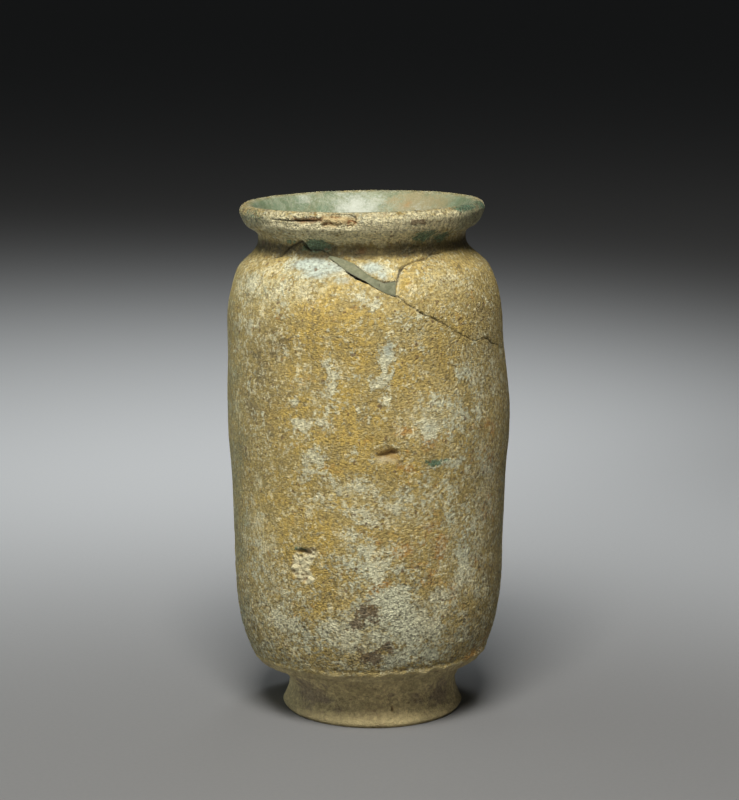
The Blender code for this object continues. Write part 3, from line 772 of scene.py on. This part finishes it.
        (-48, 3.4, 3, 1.4, 0.7), (14, 9, 10, 1.3, 0.6), (32, 6.6, 8, 2.4, 0.7), (6, 6, 6, 1, 0.5),
        (52, 8, 8, 3, 0.5), (-10, 12.4, 8, 0.9, 0.5), (-48, 8, 16, 5, 0.95), (52, 7, 14, 5, 0.8),
        (120, 8, 12, 3, 0.7), (-120, 6, 14, 2.5, 0.7), (180, 9, 16, 2, 0.6),
    ),
    # a painted highlight on the glaze inside the mouth, opposite the front
    "rimSheenHighlight": (
        (184, 134.2, 13, 5, 1.2), (172, 137.5, 7, 2.4, 0.5), (142, 134.5, 12, 2.6, 0.5), (-146, 138.4, 7, 1.6, 0.7),
        (-170, 139, 10, 1.5, 0.5),
    ),
    "rimRust": (
        (152, 136.6, 3, 1.2, 1), (150, 138.2, 6, 1, 0.35), (-147, 136.4, 5, 2.2, 0.45), (128, 137.5, 8, 1.5, 0.35),
        (172, 137.5, 5, 1.2, 0.25),
    ),
    "brown": (
        (-0.2, 36.2, 6.4, 3, 1), (-5.2, 33, 4.4, 2.8, 0.95), (2.4, 33.6, 3.6, 2.2, 0.8), (1.6, 23, 7.6, 2.6, 1),
        (-3.6, 26, 4, 2.2, 0.8), (7.6, 25.4, 4.2, 2.2, 0.85), (0, 29.2, 4, 2.4, 0.5), (24.5, 137.2, 3.4, 1.1, 1),
        (28.6, 137, 2.4, 0.8, 0.9), (140, 30, 7, 3, 0.9),
    ),
    "verdigris": (
        (26, 74.9, 3.6, 1.1, 1.15), (22.6, 75.5, 2.2, 0.8, 0.85), (31, 75.3, 4.5, 0.7, 0.62),
        (11.6, 89.1, 1.6, 0.8, 0.5), (-60.2, 77.8, 7.4, 4.4, 0.4), (-72.6, 66.2, 9.6, 11.8, 0.3),
        (3.2, 75.3, 0.8, 0.5, 0.5), (-29, 52, 4.3, 0.8, 1), (-29, 50.7, 3.8, 0.8, 0.4),
        (-71.6, 44.1, 10.2, 8.7, 0.3), (-63.6, 56.3, 9.3, 5.7, 0.3), (-42, 131.6, 5, 0.9, 0.9),
        (-25, 131, 8, 2, 1.35), (33, 133, 9, 2.2, 1), (-62, 138, 16, 2.4, 0.62), (58, 139.4, 12, 1.2, 1),
        (76, 139.2, 10, 1.6, 1), (47, 132.2, 7, 1.6, 1), (-30, 139.6, 26, 0.6, 0.35), (20, 131.6, 5, 1.4, 0.4),
        (-14, 126.6, 9, 1.2, 0.35), (120, 134, 16, 2, 0.7), (-130, 134.5, 20, 2, 0.7),
    ),
}
shardEdgePath = ((13.6, 118.8), (14.2, 120.5), (15.0, 122.4), (15.8, 123.6), (17.2, 124.8))
shardSide = np.array([np.append(onSkin(a, h), 0.3) for a, h in shardEdgePath])
pitLedgeForm = (6.2, 76.6, 3.6, 0.85)


def patchField(kind, where):
    total = np.zeros(len(degrees))
    for centre, height, halfWide, halfHigh, strength in patches[kind]:
        turn = (degrees - centre + 180) % 360 - 180
        far = (turn / halfWide) ** 2 + ((heights - height) / halfHigh) ** 2
        total = np.maximum(total, strength * np.exp(-far * 0.9))
    return total * where


def setMask(mesh, name, values):
    mask = mesh.attributes.new(name, "FLOAT", "POINT")
    mask.data.foreach_set("value", np.ascontiguousarray(values, dtype=np.float32))


insideMask = np.maximum(1.0 * inside, (heights > 137.5) * ramp(31.4 - radius + 0.5 * ragged, 0, 1.2))
for kind in patches:
    setMask(vesselMesh, kind, patchField(kind, insideMask if kind.startswith("rim") else (outside | onLip)))
lipCrust = 0.75 * ramp(heights, 131.0, 133.0)
sideCrust = 0.6 * ramp(degrees, 22, 50) * ramp(122 - heights, 0, 30) * body
# a dark band on the neck under the lip: grime, and the painted shadow that the lip casts there
neckDirtAndShadow = ramp(heights + 0.6 * ragged, 127.0, 128.7) * ramp(132.4 - heights + 0.8 * ragged, 0, 2.6) * outside
# a painted highlight along the raised left edge of the sherd and on the lower ledge of the middle pit, where they catch
# the light
shardEdgeHighlight = bell(nearness(onSkin(degrees, heights), shardSide)[0], 0.55) * outside
shardEdgeHighlight = shardEdgeHighlight * (degrees > 14.0 + 0.25 * (heights - 119))
pitLedgeHighlight = pitShape(degrees + 2.5 * ragged, heights + 0.6 * grainy, pitLedgeForm)
masks = {
    "bareClay": ramp(-overEdge, 1.2, 1.9) * outside + (~outside & (heights < 10)),
    "glazeEdge": np.clip(ridge * outside * 0.9, 0, 1),
    "edgeGroove": np.clip(edgeGroove * outside, 0, 1),
    "crack": np.clip(crackMask, 0, 1),
    "pit": np.clip(pitMask, 0, 1),
    "flake": np.clip(flake, 0, 1),
    "flakeLowShade": flake * ramp(0.30 - scaly, 0, 0.35),
    "lipScar": np.clip(lumps, 0, 1),
    "scarLowShade": np.clip(lumps * ramp(0.42 - lumpy, 0, 0.28), 0, 1),
    "lipSlit": np.clip(slit * outside, 0, 1),
    "tornEdgeCreamAndHighlight": np.clip(belowScar, 0, 1),
    "crustMask": np.maximum(crust, (lipCrust + sideCrust) * outside),
    "insideMask": insideMask,
    "softer": ramp(heights, 110, 117) * ramp(128 - heights, 0, 2) * outside,
    "neckDirtAndShadow": neckDirtAndShadow,
    "chipEdgeHighlight": np.maximum(shardEdgeHighlight, pitLedgeHighlight * outside),
}
for name, values in masks.items():
    setMask(vesselMesh, name, values)
print("vessel masks done")

# the fill
def fillPiece():
    bm = bmesh.new()
    across, along = 12, 72
    bmesh.ops.create_grid(bm, x_segments=along, y_segments=across, size=1.0)
    low, high = np.array(fillForm["lowerEdge"]), np.array(fillForm["upperEdge"])
    marks = np.arange(len(low))
    gap = fillForm["gap"]
    joint = bm.verts.layers.float.new("joint")
    for v in list(bm.verts):
        t = (v.co.x + 1) / 2
        s = (v.co.y + 1) / 2
        v[joint] = abs(2 * s - 1) if s < 0.5 else 0.85 * abs(2 * s - 1)
        place = 0.12 + (len(low) - 1.04 - 0.12) * t
        a, b = (np.array([np.interp(place, marks, side[:, i]) for i in (0, 1)]) for side in (low, high))
        width = np.linalg.norm(onSkin(a[0], a[1]) - onSkin(b[0], b[1]))
        kept = min(0.45, gap / width)
        wave = 0.10 * noise.noise(Vector((place * 2.2, s * 0.8, 3)))
        share = kept + (1 - 2 * kept) * np.clip(s + wave * (0.5 - abs(s - 0.5)), 0, 1)
        spot = a + (b - a) * share
        rough = 0.10 * noise.noise(Vector((spot[0] * 0.5, spot[1] * 0.9, 5)))
        rough += 0.05 * noise.noise(Vector((spot[0] * 1.6, spot[1] * 2.6, 9)))
        crown = 0.10 * (1 - (2 * s - 1) ** 2)
        v.co = onSkin(spot[0], spot[1], fillForm["sunk"] - crown + rough)
    bmesh.ops.recalc_face_normals(bm, faces=bm.faces)
    middle = bm.faces[:][len(bm.faces) // 2]
    if middle.normal.y > 0:
        bmesh.ops.reverse_faces(bm, faces=bm.faces)
    under = bmesh.ops.extrude_face_region(bm, geom=bm.faces[:])
    lower = [g for g in under["geom"] if isinstance(g, bmesh.types.BMVert)]
    for v in lower:
        flat = Vector((v.co.x, v.co.y, 0)).normalized()
        v.co -= flat * fillForm["thickness"]
    bmesh.ops.recalc_face_normals(bm, faces=bm.faces)
    placed = handThrown(np.array([v.co for v in bm.verts])) * 0.001
    for v, place in zip(bm.verts, placed):
        v.co = place
    mesh = bpy.data.meshes.new("fillStrip")
    bm.to_mesh(mesh)
    bm.free()
    mesh.shade_smooth()
    mesh.set_sharp_from_angle(angle=math.radians(50))
    piece = bpy.data.objects.new("fillStrip", mesh)
    scene.collection.objects.link(piece)
    return piece


fillStrip = fillPiece()
print("fill done")


# shared node groups
def newGroup(name, numbers, results):
    # a group that takes a place and numbers, and a bench for its nodes
    group = bpy.data.node_groups.new(name, "ShaderNodeTree")
    group.interface.new_socket("Place", in_out="INPUT", socket_type="NodeSocketVector")
    for label, value in numbers.items():
        group.interface.new_socket(label, in_out="INPUT", socket_type="NodeSocketFloat").default_value = value
    for label in results:
        group.interface.new_socket(label, in_out="OUTPUT", socket_type="NodeSocketFloat")
    given, wanted = group.nodes.new("NodeGroupInput"), group.nodes.new("NodeGroupOutput")
    return group, NodeBench(group), given.outputs, wanted.inputs


class NodeBench:
    # short ways to place nodes in one tree
    def __init__(self, tree):
        self.tree = tree

    def plug(self, socket, value):
        if isinstance(value, bpy.types.NodeSocket):
            self.tree.links.new(value, socket)
        else:
            socket.default_value = value

    def math(self, operation, a, b):
        node = self.tree.nodes.new("ShaderNodeMath")
        node.operation = operation
        self.plug(node.inputs[0], a)
        self.plug(node.inputs[1], b)
        return node.outputs[0]

    def times(self, a, b):
        return self.math("MULTIPLY", a, b)

    def total(self, base, *shares):
        # the base, and each value or painted mask times its share
        for value, share in shares:
            value = self.mask(value) if isinstance(value, str) else value
            base = self.math("ADD", base, self.times(value, share))
        return base

    def around(self, pattern, amount):
        # a pattern that lies between 0 and 1, moved to both sides of zero
        return self.times(self.math("SUBTRACT", pattern, 0.5), amount)

    def noise(self, place, scale, detail, roughness):
        node = self.tree.nodes.new("ShaderNodeTexNoise")
        self.plug(node.inputs["Vector"], place)
        self.plug(node.inputs["Scale"], scale)
        node.inputs["Detail"].default_value = detail
        node.inputs["Roughness"].default_value = roughness
        return node.outputs["Fac"]

    def cells(self, place, scale, output="Distance"):
        node = self.tree.nodes.new("ShaderNodeTexVoronoi")
        self.plug(node.inputs["Vector"], place)
        self.plug(node.inputs["Scale"], scale)
        return node.outputs[output]

    def channel(self, colour, name):
        node = self.tree.nodes.new("ShaderNodeSeparateColor")
        self.plug(node.inputs["Color"], colour)
        return node.outputs[name]

    def step(self, value, low, high):
        node = self.tree.nodes.new("ShaderNodeMapRange")
        node.interpolation_type = "SMOOTHSTEP"
        self.plug(node.inputs["Value"], value)
        self.plug(node.inputs["From Min"], low)
        self.plug(node.inputs["From Max"], high)
        return node.outputs["Result"]

    def mix(self, share, a, b, blend="MIX"):
        node = self.tree.nodes.new("ShaderNodeMix")
        node.data_type = "RGBA"
        node.blend_type = blend
        self.plug(node.inputs["Factor"], share)
        for socket, value in ((node.inputs[6], a), (node.inputs[7], b)):
            self.plug(socket, value if isinstance(value, bpy.types.NodeSocket) else (*value, 1.0))
        return node.outputs[2]

    def over(self, look, colour, *layers):
        # lays tints over a colour in turn: a share or painted mask, its strength, a tint or its name in the look
        for share, strength, tint in layers:
            share = self.mask(share) if isinstance(share, str) else share
            tint = look[tint] if isinstance(tint, str) else tint
            colour = self.mix(self.times(share, strength), colour, tint)
        return colour

    def darken(self, colour, value):
        grey = self.tree.nodes.new("ShaderNodeCombineColor")
        for socket in grey.inputs:
            self.plug(socket, value)
        return self.mix(1.0, colour, grey.outputs["Color"], "MULTIPLY")

    def mask(self, name):
        node = self.tree.nodes.new("ShaderNodeAttribute")
        node.attribute_name = name
        return node.outputs["Fac"]

    def place(self):
        return self.tree.nodes.new("ShaderNodeTexCoord").outputs["Object"]

    def stretch(self, vector, amounts):
        node = self.tree.nodes.new("ShaderNodeVectorMath")
        node.operation = "MULTIPLY"
        self.plug(node.inputs[0], vector)
        node.inputs[1].default_value = amounts
        return node.outputs[0]

    def group(self, group, **values):
        node = self.tree.nodes.new("ShaderNodeGroup")
        node.node_tree = group
        for label, value in values.items():
            self.plug(node.inputs[label], value)
        return node.outputs

    def bump(self, shader, height, distance, strength):
        node = self.tree.nodes.new("ShaderNodeBump")
        node.inputs["Distance"].default_value = distance
        node.inputs["Strength"].default_value = strength
        self.plug(node.inputs["Height"], height)
        self.plug(shader.inputs["Normal"], node.outputs["Normal"])


def newSurface(name):
    material = bpy.data.materials.new(name)
    material.use_nodes = True
    return material, material.node_tree.nodes["Principled BSDF"], NodeBench(material.node_tree)


# grain: crumbs of two sizes with sharp gaps between them, for crust, clay and filler
grainGroup, bench, given, wanted = newGroup("grain", {"Size mm": 0.8, "Jumble": 0.5}, ("Grain", "Pits", "Tone"))
frequency = bench.math("DIVIDE", 1000.0, given["Size mm"])
crumbs = bench.cells(given["Place"], frequency)
smaller = bench.cells(given["Place"], bench.times(frequency, 1.9))
rough = bench.noise(given["Place"], bench.times(frequency, 0.8), 5.0, 0.7)
holes = bench.noise(given["Place"], bench.times(frequency, 0.50), 2.0, 0.5)
bench.plug(wanted["Grain"], bench.total(0.75, (crumbs, -0.75), (smaller, -0.35), (rough, given["Jumble"])))
bench.plug(wanted["Pits"], bench.step(holes, 0.27, 0.20))
bench.plug(wanted["Tone"], bench.channel(bench.cells(given["Place"], frequency, "Color"), "Red"))

# mottle: a mask that breaks a smooth field up into clusters of crumbs
mottleNumbers = {
    "Field": 0.5, "Cluster mm": 5.0, "Speckle mm": 0.9, "Edge": 0.12, "Cluster share": 0.5, "Speckle share": 0.6,
    "Crumb share": 0.18,
}
mottleGroup, bench, given, wanted = newGroup("mottle", mottleNumbers, ("Mask",))
clusters = bench.noise(given["Place"], bench.math("DIVIDE", 1000.0, given["Cluster mm"]), 3.0, 0.55)
speckles = bench.noise(given["Place"], bench.math("DIVIDE", 1000.0, given["Speckle mm"]), 4.0, 0.72)
crumbs = bench.cells(given["Place"], bench.math("DIVIDE", 2200.0, given["Speckle mm"]), "Color")
level = given["Field"]
for pattern, kind in ((clusters, "Cluster"), (speckles, "Speckle"), (bench.channel(crumbs, "Green"), "Crumb")):
    level = bench.math("ADD", level, bench.around(pattern, given[kind + " share"]))
low, high = (bench.math(way, 0.5, given["Edge"]) for way in ("SUBTRACT", "ADD"))
bench.plug(wanted["Mask"], bench.step(level, low, high))
print("shared groups done")

# vessel material
glazeLook = {
    "tan": (0.405, 0.306, 0.106),
    "pale": (0.61, 0.54, 0.295),
    "golden": (0.515, 0.358, 0.084),
    "oliveStainAndSideShade": (0.19, 0.150, 0.070),
    "rust": (0.46, 0.225, 0.048),
    "cream": (0.80, 0.725, 0.445),
    "lime": (0.69, 0.65, 0.42),
    "limeCold": (0.64, 0.635, 0.435),
    "stainAndSideShade": (0.158, 0.098, 0.046),
    "green": (0.075, 0.145, 0.080),
    "turquoise": (0.165, 0.30, 0.195),
    "shadow": (0.10, 0.070, 0.028),
    "deepShade": (0.045, 0.035, 0.018),
    "clay": (0.37, 0.305, 0.145),
    "clayPale": (0.58, 0.475, 0.235),
    "clayBrown": (0.20, 0.135, 0.07),
    "spur": (0.27, 0.150, 0.050),
    "scar": (0.58, 0.455, 0.225),
    "scarBrown": (0.27, 0.13, 0.045),
    "milky": (0.41, 0.475, 0.415),
    "mossAndSideShade": (0.25, 0.265, 0.155),
    "smudge": (0.155, 0.115, 0.085),
    "rimTan": (0.355, 0.310, 0.165),
    "slit": (0.27, 0.130, 0.035),
    "inside": (0.235, 0.260, 0.145),
    "insidePale": (0.365, 0.395, 0.260),
    "paintedHighlight": (0.56, 0.59, 0.48),
    "rimGreen": (0.13, 0.215, 0.125),
    "neckDirtAndShadow": (0.062, 0.048, 0.018),
    "grainSize": 0.68,
    "grainJumble": 0.65,
    "flattening": (1.0, 1.0, 1.12),
    "relief": 0.00046,
    "specular": 0.35,
}
# Each broken-up layer: start, painted masks with their shares, cluster and speckle in millimetres, softness of the
# edge, share of the clusters, share of the speckle.
glazeLayers = {
    "golden": (0.31, {"ochre": 0.51, "pale": -0.11}, 6.0, 1.5, 0.27, 2.4, 1.6),
    "palePatch": (0.20, {"pale": 0.52}, 6.0, 1.5, 0.26, 2.0, 1.8),
    "rustGrains": (0.06, {"rust": 0.62, "ochre": 0.08}, 3.5, 1.2, 0.22, 1.6, 1.4),
    # greenish brown where stained, and painted shade on the turning sides
    "oliveStainAndSideShade": (0.08, {"stainAndSideShade": 0.78}, 6.0, 1.5, 0.26, 2.0, 1.6),
    "cream": (
        0.29, {"crustMask": 0.08, "pale": 0.10, "lime": 0.12, "creamAndFootHighlight": 0.50, "ochre": -0.08},
        4.5, 1.05, 0.15, 1.5, 2.2,
    ),
    "lime": (
        0.15, {"lime": 0.71, "crustMask": 0.18, "ochre": -0.13, "creamAndFootHighlight": -0.22}, 4.0, 1.05, 0.185, 1.75, 2.0,
    ),
    "brown": (-0.12, {"brown": 0.95}, 3.0, 1.2, 0.12, 1.0, 1.2),
    "mossAndSideShade": (0.10, {"mossAndSideShade": 0.62}, 7.0, 1.4, 0.30, 1.0, 1.3),
    "verdigris": (0.0, {"verdigris": 0.80}, 2.0, 0.7, 0.14, 0.8, 1.2),
    "rimGreen": (0.05, {"rimGreen": 0.62}, 3.5, 0.9, 0.45, 0.9, 1.0),
    "rimTan": (0.02, {"rimTan": 0.72}, 3.0, 0.9, 0.25, 1.0, 1.0),
    "rimSheenHighlight": (0.0, {"rimSheenHighlight": 0.80}, 2.5, 0.8, 0.45, 0.8, 1.0),
    "rimRust": (0.0, {"rimRust": 0.75}, 2.5, 0.8, 0.3, 0.8, 1.0),
}


def weatheredGlaze(look):
    material, shader, b = newSurface("weatheredGlaze")
    place = b.place()
    flatter = b.stretch(place, look["flattening"])
    grain = b.group(grainGroup, Place=flatter, **{"Size mm": look["grainSize"], "Jumble": look["grainJumble"]})
    crumbs = b.math("SUBTRACT", 0.6, b.cells(flatter, 2300.0))
    fine = b.noise(place, 2100.0, 2.0, 0.6)
    flecks = b.noise(flatter, 1180.0, 4.0, 0.72)

    def patchy(scale, detail, roughness, low, high):
        return b.step(b.noise(place, scale, detail, roughness), low, high)

    layer = {}
    for name, (start, shares, cluster, speckle, edge, clusterShare, speckleShare) in glazeLayers.items():
        sizes = {"Cluster mm": cluster, "Speckle mm": speckle, "Edge": edge}
        sizes.update({"Cluster share": clusterShare, "Speckle share": speckleShare})
        field = b.total(start, *shares.items())
        layer[name] = b.group(mottleGroup, Place=place, Field=field, **sizes)["Mask"]

    # glaze: tan and golden, darker where it is stained and painted darker as shade on its turning sides, rust grains,
    # cream flecks, lime crust, moss with painted shade on the sides, grime with the painted shadow of the lip on the
    # neck, verdigris
    limeTint = b.mix(patchy(42.0, 3.0, 0.5, 0.40, 0.62), look["lime"], look["limeCold"])
    milky = b.step(b.math("ADD", b.mask("milky"), b.around(flecks, 0.9)), 0.24, 0.72)
    neckGrimeAndShadow = b.times(b.mask("neckDirtAndShadow"), patchy(420.0, 4.0, 0.7, 0.16, 0.46))
    greenShare = b.times(layer["verdigris"], b.total(1.0, (neckGrimeAndShadow, -0.30)))
    greenTint = b.mix(b.step(fine, 0.46, 0.66), look["green"], look["turquoise"])
    colour = b.over(
        look, look["tan"],
        (layer["palePatch"], 1.0, "pale"), (layer["golden"], 0.9, "golden"), (layer["oliveStainAndSideShade"], 0.78, "oliveStainAndSideShade"),
        (layer["rustGrains"], 0.70, "rust"), (layer["cream"], 0.62, "cream"), (layer["lime"], 0.88, limeTint),
        (layer["brown"], 0.80, "stainAndSideShade"), (milky, 0.80, "milky"), (layer["mossAndSideShade"], 0.60, "mossAndSideShade"),
        (neckGrimeAndShadow, 0.9, "neckDirtAndShadow"), (greenShare, 0.88, greenTint),
    )

    # painted shade in the low spots between the grains, random darker tones, painted shadow in the grain pits and dark
    # specks
    creviceShade = b.times(b.math("SUBTRACT", grain["Grain"], 0.62), b.total(0.10, ("crustMask", 0.85)))
    low = b.total(0.56, (b.step(flecks, 0.37, 0.60), 0.47), (grain["Tone"], 0.30), (creviceShade, 1.0), ("creamAndFootHighlight", 0.10))
    specks = b.math("MAXIMUM", patchy(620.0, 1.0, 0.4, 0.705, 0.745), patchy(1300.0, 1.0, 0.4, 0.72, 0.76))
    colour = b.over(look, b.darken(colour, low), (grain["Pits"], 0.8, "shadow"), (specks, 0.75, "stainAndSideShade"))

    # inside of the mouth: green-grey glaze, turquoise in places, with a painted pale highlight opposite the front
    insideTint = b.mix(patchy(260.0, 5.0, 0.7, 0.40, 0.60), look["inside"], look["insidePale"])
    insideTint = b.over(
        look, insideTint,
        (patchy(620.0, 4.0, 0.75, 0.46, 0.66), 0.45, "rimGreen"), (layer["rimTan"], 1.0, "rimTan"),
        (layer["rimGreen"], 0.7, "rimGreen"), (layer["rimSheenHighlight"], 1.0, "paintedHighlight"), (layer["rimRust"], 0.4, "rust"),
    )

    # bare clay: foot and underside
    clay = b.mix(patchy(110.0, 4.0, 0.6, 0.38, 0.64), look["clay"], look["clayPale"])
    smudge = b.math("ADD", b.mask("smudge"), b.around(b.noise(place, 520.0, 5.0, 0.72), 2.2))
    clay = b.over(
        look, clay,
        (patchy(150.0, 4.0, 0.65, 0.54, 0.70), 0.6, "clayBrown"),
        (b.step(fine, 0.62, 0.72), 0.35, "clayBrown"),
        (b.step(smudge, 0.30, 0.80), 0.70, "smudge"),
        (patchy(700.0, 1.0, 0.4, 0.69, 0.74), 0.7, "clayBrown"),
        (b.step(flecks, 0.60, 0.42), 0.30, "clayBrown"),
        (b.step(fine, 0.56, 0.72), 0.35, "clayPale"),
    )
    uneven = b.total(-0.32, (b.noise(place, 900.0, 4.0, 0.88), 2.4), (grain["Tone"], 0.26))
    # the bottom edge of the foot gets a painted highlight in pale clay
    clay = b.over(look, b.darken(clay, uneven), ("creamAndFootHighlight", 0.55, "clayPale"))

    # breaks and the edge of the glaze
    edgeTint = b.mix(b.step(b.mask("rust"), 0.30, 0.75), look["clayPale"], look["spur"])
    # the hollows between the lumps of the lip scar get painted shade in scar brown
    scar = b.mix(b.mask("scarLowShade"), look["scar"], look["scarBrown"])
    scar = b.over(look, scar, (b.step(flecks, 0.5, 0.64), 0.28, "rust"))
    slitTint = b.mix(b.step(flecks, 0.42, 0.62), look["scarBrown"], look["slit"])
    colour = b.over(
        look, colour,
        ("insideMask", 1.0, insideTint), ("bareClay", 1.0, clay), ("glazeEdge", 0.9, edgeTint),
        # the low parts of the flaked scales get painted shade in scar brown
        ("edgeGroove", 0.62, "shadow"), ("flake", 0.9, "cream"), ("flakeLowShade", 0.75, "scarBrown"),
        # the torn edge below the lip scar: cream flakes with a painted highlight; the sherd and pit edges: painted
        # highlight
        ("lipScar", 1.0, scar), ("lipSlit", 0.9, slitTint), ("tornEdgeCreamAndHighlight", 0.6, "cream"), ("chipEdgeHighlight", 0.6, "cream"),
        # pits: bare scar clay, with painted shade where they are deepest and verdigris in some; cracks: painted shade
        ("pit", 0.7, "scarBrown"), (b.step(b.mask("pit"), 0.72, 1.0), 0.6, "deepShade"),
        (b.times(layer["verdigris"], b.mask("pit")), 0.7, "green"), ("crack", 0.9, "deepShade"),
    )
    b.plug(shader.inputs["Base Color"], colour)
    b.plug(shader.inputs["Roughness"], b.total(0.58, (grain["Grain"], 0.30), ("insideMask", -0.30)))
    shader.inputs["Specular IOR Level"].default_value = look["specular"]

    # relief: crust stands on the glaze, grains stand on both
    crustUp = b.math("MAXIMUM", b.times(layer["cream"], 0.7), layer["lime"])
    height = b.times(grain["Grain"], 0.55)
    height = b.total(height, (crustUp, 0.30), (flecks, 0.42), (crumbs, 0.36), (grain["Pits"], -0.4))
    strong = b.total(1.05, ("crustMask", 1.0), ("insideMask", -0.65), ("bareClay", -0.30), (milky, -0.75))
    strong = b.total(strong, ("softer", -0.32))
    b.bump(shader, b.times(height, b.math("MAXIMUM", strong, 0.08)), look["relief"], 1.0)
    return material


vesselMesh.materials.append(weatheredGlaze(glazeLook))

# fill material
fillLook = {
    "colour": (0.148, 0.156, 0.083),
    "pale": (0.225, 0.226, 0.132),
    "dark": (0.06, 0.055, 0.035),
    "grainSize": 0.6,
    "grainJumble": 0.8,
    "relief": 0.00015,
    "reliefStrength": 0.6,
}


def fillFinish(look):
    material, shader, b = newSurface("repairFilling")
    place = b.place()
    grain = b.group(grainGroup, Place=place, **{"Size mm": look["grainSize"], "Jumble": look["grainJumble"]})
    joint = b.math("ADD", b.mask("joint"), b.around(b.noise(place, 260.0, 3.0, 0.6), 1.6))
    specks = b.step(b.noise(place, 850.0, 1.0, 0.5), 0.68, 0.74)
    colour = b.mix(b.step(b.noise(place, 520.0, 5.0, 0.7), 0.40, 0.62), look["colour"], look["pale"])
    colour = b.over(
        look, colour,
        # dark joints along the edges, painted shade in the grain's pits, and dark specks
        (b.step(joint, 0.72, 1.05), 0.75, "dark"), (grain["Pits"], 0.5, "dark"), (specks, 0.8, "dark"),
    )
    b.plug(shader.inputs["Base Color"], colour)
    b.plug(shader.inputs["Roughness"], b.total(0.75, (specks, 0.15)))
    b.bump(shader, grain["Grain"], look["relief"], look["reliefStrength"])
    return material


fillStrip.data.materials.append(fillFinish(fillLook))
print("materials done")

# floor
bm = bmesh.new()
bmesh.ops.create_grid(bm, x_segments=2, y_segments=2, size=studio["floorHalfWidth"])
floorMesh = bpy.data.meshes.new("studioFloor")
bm.to_mesh(floorMesh)
bm.free()
studioFloor = bpy.data.objects.new("studioFloor", floorMesh)
scene.collection.objects.link(studioFloor)
paper, shader, bench = newSurface("floorPaper")
darker, lighter = ([c * (1 + side * studio["floorUnevenness"]) for c in studio["floorColour"]] for side in (-1, 1))
tone = bench.mix(bench.noise(bench.place(), studio["floorGrain"], 3.0, 0.6), darker, lighter)
bench.plug(shader.inputs["Base Color"], tone)
shader.inputs["Roughness"].default_value = studio["floorRoughness"]
floorMesh.materials.append(paper)

# into the frame
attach(vesselSkin, "root")
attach(fillStrip, "root")
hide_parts("vessel")
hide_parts("repair_fill")
print("triangles:", {o.name: sum(len(p.vertices) - 2 for p in o.data.polygons) for o in (vesselSkin, fillStrip)})
